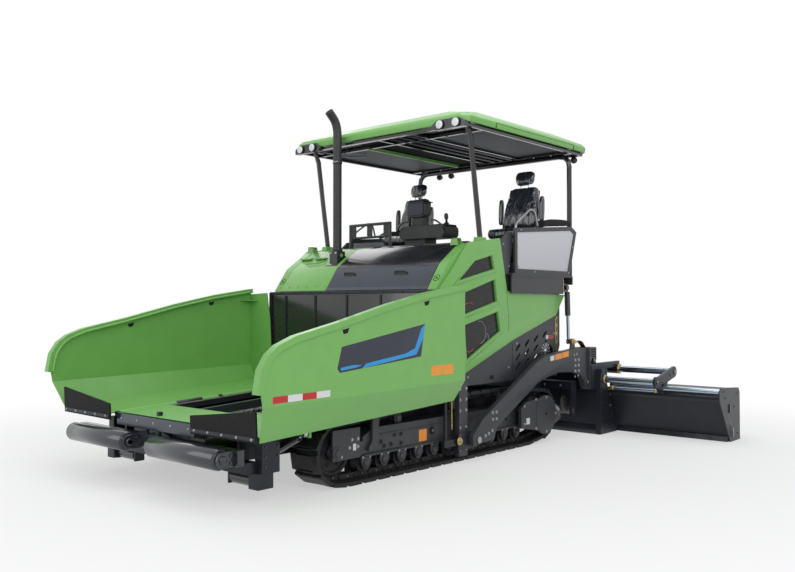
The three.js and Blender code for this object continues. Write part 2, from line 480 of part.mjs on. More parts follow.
const rearArms = cut(join([300, 860, 1400].flatMap((x) => [x, -x]).map((x) => box(x - 20, x + 20, 2100, 2730,
  796, 870))), rod([-1500, ...tubes.rear], [1500, ...tubes.rear], 50));
const sleeve = (s) => cut(rod([s * 260, ...tubes.rear], [s * sleeveEnd, ...tubes.rear], 60, 12),
  rod([s * 250, ...tubes.rear], [s * (sleeveEnd + 10), ...tubes.rear], 41.8, 12));
const headPlate = box(1300, 1440, 1946 + seat, 2080, 556, 860);
put('screed_frame', join(cut(shell, tubeHole), sole, rearArms, sleeve(1), sleeve(-1),
  box(-1430, 1430, 2100, 2225, 795, 850),
  headPlate, mirror(headPlate)), look.grey);
put('screed_walkway', join(box(-1300, 1300, 2930, 3452, 405, 435),
  [300, 860].flatMap((x) => [x, -x]).map((x) => alongX([[2730 + seat, 800], [2730 + seat, 860], [2900, 860],
    [2990, 700], [2990, 405], [2930, 405], [2930, 660], [2860, 800]], x - 15, x + 15))), look.black);

// telescoping guide tubes: the bracket at their end travels half as far as the extension
const tubeEnd = 2150;
pair('extension_guide', cut(join(rod([960, ...tubes.mid], [tubeEnd + 5, ...tubes.mid], 41, 12),
  rod([960, ...tubes.rear], [tubeEnd + 5, ...tubes.rear], 41, 12),
  alongX([[2110, 610], [2110, 735], [2620, 840], [2730, 840], [2730, 700], [2480, 660], [2390, 560],
    [2280, 550]], tubeEnd, tubeEnd + 30)), rod([2140, ...tubes.low], [2190, ...tubes.low], 35.8, 12)), look.chrome);
const extOutline = [[2576, 14], [2540, 60], [2330, 480], [2300, 500], [2300, 530], [2840, 600], [2840, 14]];
const extInner = [[2590, 30], [2552, 64], [2345, 488], [2345, 522], [2826, 586], [2826, 30]];
const inner = 1420;
const outer = 2875;
const extEnd = alongX([[2560, 0], [2230, 500], [2225, 585], [2290, 640], [2400, 640], [2835, 612], [2872, 560],
  [2872, 0]], outer, outer + 18);
const extShell = join(cut(alongX(extOutline, inner, outer + 2), alongX(extInner, inner - 5, outer - 10)),
  box(inner, outer + 2, 2570, 2850, 0, 12), extEnd,
  rod([inner + 80, ...tubes.low], [outer + 5, ...tubes.low], 35, 12),
  box(inner + 80, inner + 110, 2300, 2370, 520, 600));
const step = join(box(1560, 2800, 2835, 3120, 238, 262), [1600, 2180, 2760].map((x) => alongX(
  [[2835, 130], [2835, 250], [3100, 250], [3100, 232]], x - 8, x + 8)));
pair('extension', join(extShell, step), look.grey);

// ---------------------------------------------------------------- augers and their carrier
const auger = { y: 1760, z: 305, r: 185, from: 95, to: 1255, turns: 3.5 };
const flight = () => {
  const n = Math.round(auger.turns * 11);
  const pos = [];
  const idx = [];
  for (let i = 0; i <= n; i += 1) {
    const a = i / n * auger.turns * 2 * Math.PI;
    const x = auger.from + 20 + (auger.to - auger.from - 40) * i / n;
    for (const [r, t] of [[34, -7], [auger.r, -7], [auger.r, 7], [34, 7]]) {
      pos.push(x + t, auger.y + r * Math.cos(a), auger.z + r * Math.sin(a));
    }
    if (i < n) {
      for (let k = 0; k < 4; k += 1) {
        const [p, q] = [4 * i + k, 4 * i + (k + 1) % 4];
        idx.push(p, q + 4, q, p, p + 4, q + 4);
      }
    }
  }
  const e = 4 * n;
  idx.push(0, 1, 2, 0, 2, 3, e, e + 2, e + 1, e, e + 3, e + 2);
  const g = new THREE.BufferGeometry();
  g.setAttribute('position', new THREE.Float32BufferAttribute(pos, 3));
  g.setIndex(idx);
  return solid(g);
};
pair('auger', join(flight(), rod([auger.from - 15, auger.y, auger.z], [auger.to + 30, auger.y, auger.z], 42, 12)),
  look.worn);
const hanger = cut(box(1275, 1300, 1700, 1820, 240, 600), rod([1260, auger.y, auger.z], [1310, auger.y, auger.z],
  42.8, 24));
const carrier = join(box(0, 1300, 1700, 1820, 560, 660), hanger,
  box(845, 880, 1480 + seat, 1705, 560, 660), box(0, 66, 1690, 1830, 200, 570));
put('auger_carrier', join(carrier, mirror(carrier)), look.grey);

export default paver;
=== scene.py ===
"""Tracked asphalt paver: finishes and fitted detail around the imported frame. Metres, +Z up, hopper at -Y."""
import math
from collections import namedtuple

import bmesh
import bpy
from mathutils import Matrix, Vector, noise


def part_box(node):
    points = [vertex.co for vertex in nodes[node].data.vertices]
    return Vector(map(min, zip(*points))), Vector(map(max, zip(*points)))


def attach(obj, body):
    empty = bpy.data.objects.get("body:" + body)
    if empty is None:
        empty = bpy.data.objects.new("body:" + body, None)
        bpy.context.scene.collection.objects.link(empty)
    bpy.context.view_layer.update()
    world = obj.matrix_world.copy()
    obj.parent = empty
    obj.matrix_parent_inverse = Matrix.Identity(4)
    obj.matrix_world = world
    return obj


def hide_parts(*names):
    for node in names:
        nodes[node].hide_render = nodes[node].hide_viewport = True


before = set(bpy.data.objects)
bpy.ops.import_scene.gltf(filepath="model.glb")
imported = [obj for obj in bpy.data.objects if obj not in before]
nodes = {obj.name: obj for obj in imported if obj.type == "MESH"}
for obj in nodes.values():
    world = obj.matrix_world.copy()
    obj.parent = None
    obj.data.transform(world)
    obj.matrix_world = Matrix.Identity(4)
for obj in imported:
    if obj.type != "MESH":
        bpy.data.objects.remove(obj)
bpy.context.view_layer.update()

# ---------------------------------------------------------------- places taken from the frame
Span = namedtuple("Span", "x0 y0 z0 x1 y1 z1")


def span(node):
    """The lowest and highest corner of a CAD node as one named tuple."""
    low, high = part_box(node)
    return Span(*low, *high)


SIDES = ((1, "left"), (-1, "right"))
roof = span("roof")
body = span("side_body_left")
deck = span("platform")
extension = span("extension_left")
rear_wall = span("hopper_rear_wall")
track = span("track_left")
drive = span("final_drive_left")
pane = span("screen_pane_left")
exhaust = span("exhaust")
door = span("hood_door")

WING_OUTER = 1.620        # outer face of the hopper wings' plates
COLUMN_FACE = 1.300       # outer face of the tow columns
ARM_FACE = 1.396          # outer face of the tow arms
FRAME_FACE = 1.2236       # outer face of the body frame's panels
ROLLER_FRAME_FACE = 1.190
WALKWAY_TOP = 0.435       # tread of the screed's walkway
FLAP_FACE = -3.288        # front face of the wings' rubber flaps


# ---------------------------------------------------------------- finishes
def tree(name):
    """A new node material: its nodes, its links and its main shader."""
    made = bpy.data.materials.new(name)
    made.use_nodes = True
    work = made.node_tree
    return made, work.nodes, work.links, work.nodes["Principled BSDF"]


def add(work, kind, values=(), **settings):
    """A new node with some of its sockets and settings set."""
    made = work.new(kind)
    for name, value in settings.items():
        setattr(made, name, value)
    for socket, value in dict(values).items():
        made.inputs[socket].default_value = value
    return made


def varied(work, links, colour, variation, scale, coordinate):
    """A colour that drifts a little lighter and darker over the surface, and the noise that drives it."""
    cloud = add(work, "ShaderNodeTexNoise", {"Scale": scale, "Detail": 5})
    links.new(coordinate, cloud.inputs["Vector"])
    ramp = work.new("ShaderNodeValToRGB")
    low, high = ramp.color_ramp.elements
    low.position, high.position = 0.3, 0.7
    low.color = [c * (1 - variation) for c in colour] + [1]
    high.color = [min(1, c * (1 + variation)) for c in colour] + [1]
    links.new(cloud.outputs["Fac"], ramp.inputs["Fac"])
    return ramp.outputs["Color"], cloud.outputs["Fac"]


def bumped(work, links, shader, height, strength, distance, invert=False):
    """Bends the shader's normal by a height."""
    bump = add(work, "ShaderNodeBump", {"Strength": strength, "Distance": distance}, invert=invert)
    links.new(height, bump.inputs["Height"])
    links.new(bump.outputs["Normal"], shader.inputs["Normal"])


def finish(name, colour, rough, metal=0.0, coat=0.0, variation=0.06, scale=5.0, grain=400.0, relief=0.12, dust=0.0,
           specular=0.5):
    """Paint, metal or rubber: drifting colour and gloss, a fine surface grain and, low down, some road dust."""
    made, work, links, shader = tree(name)
    place = work.new("ShaderNodeTexCoord").outputs["Object"]
    tint, cloud = varied(work, links, colour, variation, scale, place)
    if dust:
        split = work.new("ShaderNodeSeparateXYZ")
        links.new(place, split.inputs[0])
        height = add(work, "ShaderNodeMapRange", {"From Min": 0.75, "From Max": 0.0, "To Max": dust})
        links.new(split.outputs["Z"], height.inputs["Value"])
        patch = add(work, "ShaderNodeMath", operation="MULTIPLY")
        links.new(height.outputs["Result"], patch.inputs[0])
        links.new(cloud, patch.inputs[1])
        mix = add(work, "ShaderNodeMix", data_type="RGBA")
        mix.inputs["B"].default_value = (0.16, 0.14, 0.12, 1)
        links.new(patch.outputs[0], mix.inputs["Factor"])
        links.new(tint, mix.inputs["A"])
        tint = mix.outputs["Result"]
    links.new(tint, shader.inputs["Base Color"])
    gloss = add(work, "ShaderNodeMapRange", {"To Min": max(0.02, rough - 0.08), "To Max": min(1.0, rough + 0.08)})
    links.new(cloud, gloss.inputs["Value"])
    links.new(gloss.outputs["Result"], shader.inputs["Roughness"])
    shader.inputs["Metallic"].default_value = metal
    shader.inputs["Coat Weight"].default_value = coat
    shader.inputs["Coat Roughness"].default_value = 0.08
    shader.inputs["Specular IOR Level"].default_value = specular
    fine = add(work, "ShaderNodeTexNoise", {"Scale": grain, "Detail": 3})
    links.new(place, fine.inputs["Vector"])
    bumped(work, links, shader, fine.outputs["Fac"], relief, 0.002)
    return made


def wrapped_vinyl():
    """Black seat vinyl under a loose film: long sharp wrinkles that catch the light."""
    made, work, links, shader = tree("wrapped_vinyl")
    place = work.new("ShaderNodeTexCoord").outputs["Object"]
    tint, _ = varied(work, links, (0.020, 0.026, 0.036), 0.5, 14, place)
    links.new(tint, shader.inputs["Base Color"])
    shader.inputs["Roughness"].default_value = 0.22
    shader.inputs["Coat Weight"].default_value = 0.8
    shader.inputs["Coat Roughness"].default_value = 0.06
    stretch = add(work, "ShaderNodeMapping", {"Scale": (17, 10, 3.5)})
    links.new(place, stretch.inputs["Vector"])
    folds = add(work, "ShaderNodeTexNoise", {"Scale": 1.0, "Detail": 1.5, "Distortion": 1.6})
    links.new(stretch.outputs["Vector"], folds.inputs["Vector"])
    bumped(work, links, shader, folds.outputs["Fac"], 0.9, 0.022)
    return made


def tread_plate():
    """Walkway plate: raised bars in two crossing directions."""
    made, work, links, shader = tree("tread_plate")
    place = work.new("ShaderNodeTexCoord").outputs["Object"]
    tint, _ = varied(work, links, (0.040, 0.041, 0.046), 0.2, 9, place)
    links.new(tint, shader.inputs["Base Color"])
    shader.inputs["Roughness"].default_value = 0.5
    shader.inputs["Metallic"].default_value = 0.3
    lowest = add(work, "ShaderNodeMath", operation="MINIMUM")
    for k, angle in enumerate((45, -45)):
        turn = add(work, "ShaderNodeMapping", {"Rotation": (0, 0, math.radians(angle)), "Scale": (1, 0.45, 1)})
        links.new(place, turn.inputs["Vector"])
        bars = add(work, "ShaderNodeTexVoronoi", {"Scale": 28, "Randomness": 0})
        links.new(turn.outputs["Vector"], bars.inputs["Vector"])
        links.new(bars.outputs["Distance"], lowest.inputs[k])
    bumped(work, links, shader, lowest.outputs[0], 0.5, 0.004, invert=True)
    return made


def frosted_pane():
    """White side pane with painted shade: darker towards its lower edge, lighter towards its top."""
    made, work, links, shader = tree("frosted_pane")
    place = work.new("ShaderNodeTexCoord").outputs["Object"]
    split = work.new("ShaderNodeSeparateXYZ")
    links.new(place, split.inputs[0])
    height = add(work, "ShaderNodeMapRange", {"From Min": pane.z0, "From Max": pane.z1})
    links.new(split.outputs["Z"], height.inputs["Value"])
    # painted shade: the colour runs from 0.50 at the pane's lower edge to 0.60 at its top
    ramp = work.new("ShaderNodeValToRGB")
    ramp.color_ramp.elements[0].color = (0.50, 0.51, 0.54, 1)
    ramp.color_ramp.elements[1].color = (0.60, 0.61, 0.66, 1)
    links.new(height.outputs["Result"], ramp.inputs["Fac"])
    links.new(ramp.outputs["Color"], shader.inputs["Base Color"])
    shader.inputs["Roughness"].default_value = 0.35
    shader.inputs["Coat Weight"].default_value = 0.3
    return made


def brushed(name, colour, rough):
    """Ground bar: metal with hair lines along X."""
    made, work, links, shader = tree(name)
    place = work.new("ShaderNodeTexCoord").outputs["Object"]
    tint, _ = varied(work, links, colour, 0.08, 3, place)
    links.new(tint, shader.inputs["Base Color"])
    shader.inputs["Metallic"].default_value = 1.0
    stretch = add(work, "ShaderNodeMapping", {"Scale": (2, 90, 90)})
    links.new(place, stretch.inputs["Vector"])
    hair = add(work, "ShaderNodeTexNoise", {"Scale": 8})
    links.new(stretch.outputs["Vector"], hair.inputs["Vector"])
    gloss = add(work, "ShaderNodeMapRange", {"To Min": rough * 0.6, "To Max": rough * 1.5})
    links.new(hair.outputs["Fac"], gloss.inputs["Value"])
    links.new(gloss.outputs["Result"], shader.inputs["Roughness"])
    return made


GREEN = (0.165, 0.425, 0.095)
LOOK = {
    "green": finish("green_paint", GREEN, 0.40, coat=0.22, variation=0.035, grain=700, relief=0.035),
    "grey": finish("grey_paint", (0.040, 0.041, 0.048), 0.42, variation=0.10, grain=520, relief=0.10, dust=0.08,
                   specular=0.4),
    "dark": finish("dark_paint", (0.014, 0.016, 0.024), 0.36, variation=0.15, grain=480, relief=0.09, dust=0.06,
                   specular=0.35),
    "black": finish("black_paint", (0.012, 0.012, 0.014), 0.26, coat=0.4, variation=0.12, grain=600, relief=0.04),
    "navy": finish("roller_paint", (0.016, 0.018, 0.026), 0.24, coat=0.5, variation=0.12, grain=300, relief=0.05),
    "bonnet": finish("bonnet_paint", (0.016, 0.027, 0.046), 0.22, coat=0.4, variation=0.10, grain=800, relief=0.02),
    "smoked": finish("smoked_panel", (0.018, 0.019, 0.024), 0.20, coat=0.35, variation=0.25, grain=40, relief=0.01),
    "steel": finish("steel", (0.30, 0.30, 0.31), 0.34, 0.9, variation=0.15, scale=30, grain=300, relief=0.15),
    "worn": finish("worn_steel", (0.17, 0.165, 0.16), 0.42, 0.8, variation=0.3, scale=12, relief=0.3),
    "track": finish("track_steel", (0.017, 0.018, 0.021), 0.46, 0.3, variation=0.35, scale=18, relief=0.35,
                    dust=0.12, specular=0.25),
    "rubber": finish("rubber", (0.012, 0.012, 0.012), 0.72, variation=0.3, scale=25, grain=160, relief=0.25,
                     specular=0.2),
    "plastic": finish("moulded_plastic", (0.018, 0.019, 0.020), 0.5, variation=0.1, grain=900, relief=0.3),
    "chrome": brushed("chrome", (0.38, 0.44, 0.52), 0.16),
    "zinc": finish("zinc", (0.38, 0.40, 0.42), 0.34, 1.0, variation=0.12, scale=60, relief=0.1),
    "brass": finish("yellow_zinc", (0.50, 0.36, 0.14), 0.34, 0.9, variation=0.25, scale=40, relief=0.12),
    "orange": finish("orange_film", (0.86, 0.30, 0.03), 0.4, variation=0.05, relief=0.02),
    "white": finish("white_film", (0.70, 0.70, 0.72), 0.3, variation=0.05, scale=90, relief=0.05),
    "red": finish("red_film", (0.50, 0.012, 0.016), 0.3, variation=0.1, scale=90, relief=0.05),
    "blue": finish("blue_film", (0.015, 0.28, 0.66), 0.3, variation=0.06, relief=0.02),
    "ink": finish("dark_film", (0.014, 0.020, 0.038), 0.25, variation=0.2, scale=3, relief=0.02),
    "ceiling": finish("ceiling_glass", (0.018, 0.022, 0.029), 0.50, variation=0.3, scale=2.5, grain=30,
                      relief=0.02, specular=0.12),
    "lining": finish("lining", (0.006, 0.007, 0.009), 0.7, variation=0.2, scale=6, relief=0.02, specular=0.03),
    "lens": finish("lamp_lens", (0.78, 0.80, 0.84), 0.12, coat=1.0, variation=0.2, scale=220, grain=240, relief=0.6),
    "amber": finish("amber_lens", (0.80, 0.22, 0.02), 0.15, coat=0.8, variation=0.1, scale=120, relief=0.3),
    "screen": finish("display", (0.010, 0.016, 0.020), 0.08, coat=0.8, variation=0.2, relief=0.01),
    "vinyl": wrapped_vinyl(),
    "tread": tread_plate(),
    "pane": frosted_pane(),
}


def circle(centre, across, over, r, n):
    """n points round a centre, in the plane of two directions."""
    turns = [2 * math.pi * i / n for i in range(n)]
    return [centre + across * r * math.cos(a) + over * r * math.sin(a) for a in turns]


class Piece:
    """Closed solids gathered into one mesh. side = -1 mirrors everything that is added."""

    def __init__(self, name, side=1):
        self.name = name
        self.side = side
        self.mesh = bmesh.new()
        self.looks = []

    def index(self, look):
        if look not in self.looks:
            self.looks.append(look)
        return self.looks.index(look)

    def solid(self, points, faces, look):
        verts = [self.mesh.verts.new((self.side * x, y, z)) for x, y, z in points]
        slot = self.index(look)
        for loop in faces:
            ring = [verts[i] for i in loop]
            face = self.mesh.faces.new(ring if self.side > 0 else ring[::-1])
            face.material_index = slot
        return self

    def loft(self, rings, look):
        """Skins a row of rings that have as many points each, and closes both ends."""
        n = len(rings[0])
        points = [p for ring in rings for p in ring]
        faces = []
        for k in range(len(rings) - 1):
            a, b = k * n, (k + 1) * n
            faces += [(a + i, a + (i + 1) % n, b + (i + 1) % n, b + i) for i in range(n)]
        faces.append(tuple(range(n))[::-1])
        faces.append(tuple(range(len(points) - n, len(points))))
        return self.solid(points, faces, look)

    def box(self, x, y, z, look):
        ring = lambda h: [(x[0], y[0], h), (x[1], y[0], h), (x[1], y[1], h), (x[0], y[1], h)]
        return self.loft([ring(z[0]), ring(z[1])], look)

    def prism(self, axis, outline, low, high, look):
        """An outline in the two other axes, in their order, drawn along axis."""
        place = {"x": lambda a, b, h: (h, a, b),
                 "y": lambda a, b, h: (a, h, b),
                 "z": lambda a, b, h: (a, b, h)}[axis]
        area = sum(p[0] * q[1] - q[0] * p[1] for p, q in zip(outline, outline[1:] + outline[:1]))
        ring = outline if (area > 0) == (axis != "y") else outline[::-1]
        return self.loft([[place(a, b, h) for a, b in ring] for h in (low, high)], look)

    def turned(self, start, end, profile, look, n=24):
        """A turned shape: profile holds (share of the way from start to end, radius)."""
        a, b = Vector(start), Vector(end)
        along = (b - a).normalized()
        across = along.orthogonal().normalized()
        over = along.cross(across)
        rings = []
        for share, r in profile:
            centre = a.lerp(b, share)
            rings.append([tuple(p) for p in circle(centre, across, over, r, n)])
        return self.loft(rings, look)

    def rod(self, start, end, r, look, n=16):
        return self.turned(start, end, [(0, r), (1, r)], look, n)

    def tube(self, path, r, look, n=10):
        """A round bar along a path, square to it at every point."""
        points = [Vector(p) for p in path]
        across = (points[1] - points[0]).orthogonal().normalized()
        rings = []
        for i, p in enumerate(points):
            ahead = (points[min(i + 1, len(points) - 1)] - points[max(i - 1, 0)]).normalized()
            across = (across - ahead * across.dot(ahead)).normalized()
            over = ahead.cross(across)
            rings.append([tuple(q) for q in circle(p, across, over, r, n)])
        return self.loft(rings, look)

    def bolt(self, p, out, r, look="zinc"):
        """A hexagon head on a washer, standing on p and pointing out."""
        p, out = Vector(p), Vector(out).normalized()
        self.rod(p, p + out * r * 0.25, r * 1.35, look, 12)
        top = p + out * r * 0.95
        return self.turned(p + out * r * 0.2, top, [(0, r), (0.85, r), (1, r * 0.86)], look, 6)

    def place(self, rides, slot, bevel=0.0, segments=2, replaces=()):
        """Makes the object, rounds its edges, and fastens it to its body."""
        bmesh.ops.recalc_face_normals(self.mesh, faces=self.mesh.faces)
        data = bpy.data.meshes.new(self.name)
        self.mesh.to_mesh(data)
        self.mesh.free()
        for look in self.looks:
            data.materials.append(LOOK[look])
        made = bpy.data.objects.new(self.name, data)
        bpy.context.collection.objects.link(made)
        round_off(made, bevel, segments)
        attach(made, rides)
        if replaces:
            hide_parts(*replaces)
        return made


def round_off(made, bevel, segments=2, weld=False):
    """Bevelled edges, and smooth shading everywhere but across the sharp ones."""
    if weld:
        made.modifiers.new("weld", "WELD").merge_threshold = 0.00002
        for face in made.data.polygons:
            face.use_smooth = True
    if bevel:
        edge = made.modifiers.new("edge", "BEVEL")
        edge.width = bevel
        edge.segments = segments
        edge.limit_method = "ANGLE"
        edge.angle_limit = math.radians(40)
    if weld:
        made.modifiers.new("split", "EDGE_SPLIT").split_angle = math.radians(28)
        return
    for face in made.data.polygons:
        face.use_smooth = True
    made.data.set_sharp_from_angle(angle=math.radians(38))


def arc(centre, r, start, end, n):
    """Points round an arc in a plane, angles in degrees."""
    return [(centre[0] + r * math.cos(math.radians(start + (end - start) * i / n)),
             centre[1] + r * math.sin(math.radians(start + (end - start) * i / n))) for i in range(n + 1)]


def filleted(path, r, n=5):
    """The path of a bent tube: each corner becomes an arc that starts r before it."""
    points = [Vector(p) for p in path]
    out = [points[0]]
    for a, b, c in zip(points, points[1:], points[2:]):
        back = min(r, (b - a).length * 0.49)
        ahead = min(r, (c - b).length * 0.49)
        start, end = b + (a - b).normalized() * back, b + (c - b).normalized() * ahead
        for i in range(n + 1):
            t = i / n
            out.append(start * (1 - t) ** 2 + b * 2 * t * (1 - t) + end * t * t)
    return [tuple(p) for p in out + [points[-1]]]


def rounded(x0, x1, z0, z1, r, n=4):
    """A rectangle with round corners."""
    corners = ((x1 - r, z1 - r, 0), (x0 + r, z1 - r, 90), (x0 + r, z0 + r, 180), (x1 - r, z0 + r, 270))
    return [p for cx, cz, a in corners for p in arc((cx, cz), r, a, a + 90, n)]


def between(a, b, n):
    """n numbers from a to b, both included."""
    return [a + (b - a) * i / (n - 1) for i in range(n)]


# ---------------------------------------------------------------- tracks
IDLER = (-2.18, 0.30)
SPROCKET = (1.121, 0.33)
LOOP_RADIUS = 0.29
SHOE_PITCH = 0.19
ROLLERS_Y = [-1.790 + 0.2464 * i for i in range(11)]
ROLLERS_Z = 0.1556
CARRIERS = ((-1.30, 0.64), (-0.45, 0.69), (0.40, 0.69))     # y, and height of the shoes' tips over it
CARRIER_DROP = 0.1306                                       # from there to the carrier's axle


def loop_outline(inset):
    """The track's outline in Y and Z, inset from the tips of its shoes."""
    r = LOOP_RADIUS - inset
    return [*arc(IDLER, r, 270, 95, 12), (-1.3, 0.64 - inset), (-0.45, 0.69 - inset), (0.4, 0.69 - inset),
            *arc(SPROCKET, r, 80, -70, 11), (0.85, inset), (-2.05, inset)]


def stations(path, pitch):
    """Points a pitch apart round a closed path, each with the direction of travel."""
    ring = path + path[:1]
    legs = [math.dist(a, b) for a, b in zip(ring, ring[1:])]
    total = sum(legs)
    count = round(total / pitch)
    made = []
    for k in range(count):
        s, i = k * total / count, 0
        while s > legs[i]:
            s -= legs[i]
            i += 1
        (ay, az), (by, bz) = ring[i], ring[i + 1]
        u = ((by - ay) / legs[i], (bz - az) / legs[i])
        made.append(((ay + u[0] * s, az + u[1] * s), u))
    return made


def make_tracks():
    """Pads, bolts and grouser of each shoe, and the chain's link plates, pins and bushes."""
    for side, word in SIDES:
        shoes = Piece(f"shoe_detail_{word}", side)
        links = Piece(f"track_links_{word}", side)
        outer, inner = track.x1, track.x0
        for k, ((y, z), (uy, uz)) in enumerate(stations(loop_outline(0.014), SHOE_PITCH)):
            def at(along, inward):    # nothing goes below the ground
                return (y + uy * along + uz * inward, max(0.0005, z + uz * along - uy * inward))
            for x0, x1 in ((inner - 0.006, inner + 0.06), (outer - 0.06, outer + 0.006)):
                pad = [at(a, b) for a, b in rounded(-0.080, 0.080, -0.0135, 0.020, 0.012, 3)]
                shoes.prism("x", pad, x0, x1, "track")
            for x in (inner + 0.035, inner + 0.085, outer - 0.085, outer - 0.035):
                for a in (-0.045, 0.045):
                    shoes.rod((x, *at(a, 0.010)), (x, *at(a, 0.030)), 0.0095, "track", 8)
            grouser = [at(-0.088, 0.020), at(-0.080, -0.006), at(-0.070, 0.020)]
            shoes.prism("x", grouser, inner + 0.07, outer - 0.07, "track")
            for x in (1.040, 1.131):
                off = 0.005 if k % 2 else 0.0
                plate = [at(a, b) for a, b in rounded(-0.100, 0.100, 0.030, 0.078, 0.023, 4)]
                links.prism("x", plate, x + off, x + off + 0.009, "track")
                links.rod((x - 0.004, *at(0.095, 0.053)), (x + 0.022, *at(0.095, 0.053)), 0.016, "track", 12)
                links.rod((x + 0.012, *at(0.0, 0.053)), (x + 0.019, *at(0.0, 0.053)), 0.010, "worn", 6)
        shoes.place("chassis", "track_steel", 0.002, 1)
        links.place("chassis", "track_steel", 0.0015, 1)


def make_roller_frames():
    """Hubs, brackets, holes drawn as black discs of painted shade, tensioner bolts, a black sheet of painted shade
    inside the track, and the stay of each roller frame.
    """
    out = ROLLER_FRAME_FACE
    for side, word in SIDES:
        hubs = Piece(f"roller_hubs_{word}", side)
        for y in ROLLERS_Y:
            z = ROLLERS_Z
            plate = [(y - 0.062, 0.232), (y - 0.062, z + 0.01), *arc((y, z), 0.052, 200, 340, 8),
                     (y + 0.062, z + 0.01), (y + 0.062, 0.232)]
            hubs.prism("x", plate, 1.172, 1.190, "grey")
            cap = [(0, 0.036), (0.5, 0.036), (0.75, 0.026), (1, 0.012)]
            hubs.turned((1.188, y, z), (1.212, y, z), cap, "grey", 20)
            flange = [(0, 0.086), (0.35, 0.086), (0.4, 0.05), (1, 0.05)]
            hubs.turned((1.139, y, z), (1.172, y, z), flange, "track", 28)
            for d in (-0.045, 0.045):
                hubs.bolt((1.19, y + d, 0.218), (1, 0, 0), 0.009)
        for y, top in CARRIERS:
            z = top - CARRIER_DROP
            wheel = [(0, 0.052), (0.5, 0.052), (0.6, 0.03), (1, 0.03)]
            hubs.turned((1.129, y, z), (1.152, y, z), wheel, "grey", 20)
        y, z = IDLER
        hubs.turned((1.2, y, z), (1.236, y, z), [(0, 0.06), (0.5, 0.06), (0.7, 0.04), (1, 0.04)], "grey", 24)
        hubs.turned((1.130, y, z), (1.158, y, z), [(0, 0.163), (0, 0.2055), (0.8, 0.2055), (1, 0.198), (1, 0.174),
                                                   (0.3, 0.160)], "track", 48)
        hubs.turned((1.130, y, z), (1.168, y, z), [(0, 0.075), (0.7, 0.070), (1, 0.056)], "track", 32)
        # Six black discs on the idler: painted shade where its holes are.
        for a in between(0, 5 * math.pi / 3, 6):
            spot = (y + 0.115 * math.cos(a), z + 0.115 * math.sin(a))
            hubs.rod((1.136, *spot), (1.1400, *spot), 0.024, "rubber", 20)
        hubs.place("chassis", "grey_paint", 0.002)

        plates = Piece(f"frame_plates_{word}", side)
        low_lip = [(out - 0.001, 0.226), (1.214, 0.226), (1.214, 0.240), (out - 0.001, 0.252)]
        plates.prism("y", low_lip, -1.84, 0.86, "grey")
        top_lip = [(out - 0.001, 0.392), (1.200, 0.392), (1.200, 0.404), (out - 0.001, 0.404)]
        plates.prism("y", top_lip, -1.60, 0.86, "grey")
        # Holes in the frame: grey rims round black discs, the discs painted shade inside the holes.
        for y, z in ((-1.598, 0.330), (-1.41, 0.372), (-1.316, 0.372), (-1.556, 0.285), (-1.459, 0.290),
                     (-1.317, 0.284), (-0.35, 0.33), (0.15, 0.33), (0.45, 0.33)):
            plates.turned((out - 0.002, y, z), (out + 0.004, y, z), [(0, 0.026), (1, 0.0255)], "grey", 20)
            plates.rod((out + 0.002, y, z), (out + 0.0045, y, z), 0.021, "rubber", 20)
        cap = [(0, 0.04), (1, 0.038)]
        plates.turned((out - 0.002, -0.849, 0.350), (out + 0.006, -0.849, 0.350), cap, "rubber", 24)
        plates.rod((out + 0.004, -0.849, 0.350), (out + 0.016, -0.849, 0.350), 0.012, "zinc", 12)
        for y, z in ((-2.005, 0.400), (-1.93, 0.400), (-2.035, 0.332), (-2.136, 0.266), (-1.93, 0.332)):
            plates.bolt((1.214, y, z), (1, 0, 0), 0.012)
        plates.box((1.214, 1.2152), (-1.99, -1.95), (0.30, 0.36), "white")
        plates.box((out, out + 0.0016), (-1.05, -0.93), (0.262, 0.376), "orange")
        # A black sheet just inside the track: painted shade that darkens what shows between the shoes and links.
        shade_sheet = [(-1.90, 0.052), (0.76, 0.052), (0.90, 0.16), (0.90, 0.30), (-1.90, 0.30)]
        plates.prism("x", shade_sheet, 1.014, 1.024, "rubber")
        stay = [(-1.745, 0.63), (-1.655, 0.63), (-1.655, 0.52), (-1.685, 0.29), (-1.79, 0.27), (-1.79, 0.30),
                (-1.745, 0.36)]
        plates.prism("x", stay, out + 0.004, out + 0.034, "grey")
        plates.place("chassis", "grey_paint", 0.0015)

        guard = Piece(f"drive_guard_{word}", side)
        face = drive.x1
        for y, z in ((0.66, 0.46), (0.66, 0.26), (1.121, 0.52), (1.33, 0.32), (1.121, 0.13), (0.90, 0.515),
                     (0.90, 0.185)):
            guard.bolt((face, y, z), (1, 0, 0), 0.013)
        guard.box((face - 0.002, face + 0.002), (0.905, 0.915), (0.17, 0.52), "dark")
        guard.box((face, face + 0.0014), (0.70, 0.77), (0.25, 0.32), "white")
        guard.rod((face, 1.121, 0.33), (face + 0.006, 1.121, 0.33), 0.014, "rubber", 14)
        pipe = [(1.24, 1.30, 0.40), (1.24, 1.44, 0.40), (1.24, 1.50, 0.34)]
        guard.tube(filleted(pipe, 0.06), 0.022, "steel", 12)
        guard.place("chassis", "grey_paint", 0.0015)


# ---------------------------------------------------------------- front and hopper
def hinge_height(y):
    """Height of the wings' fold line, which rises to the rear."""
    return 0.585 + (y + 3.262) * 0.0529


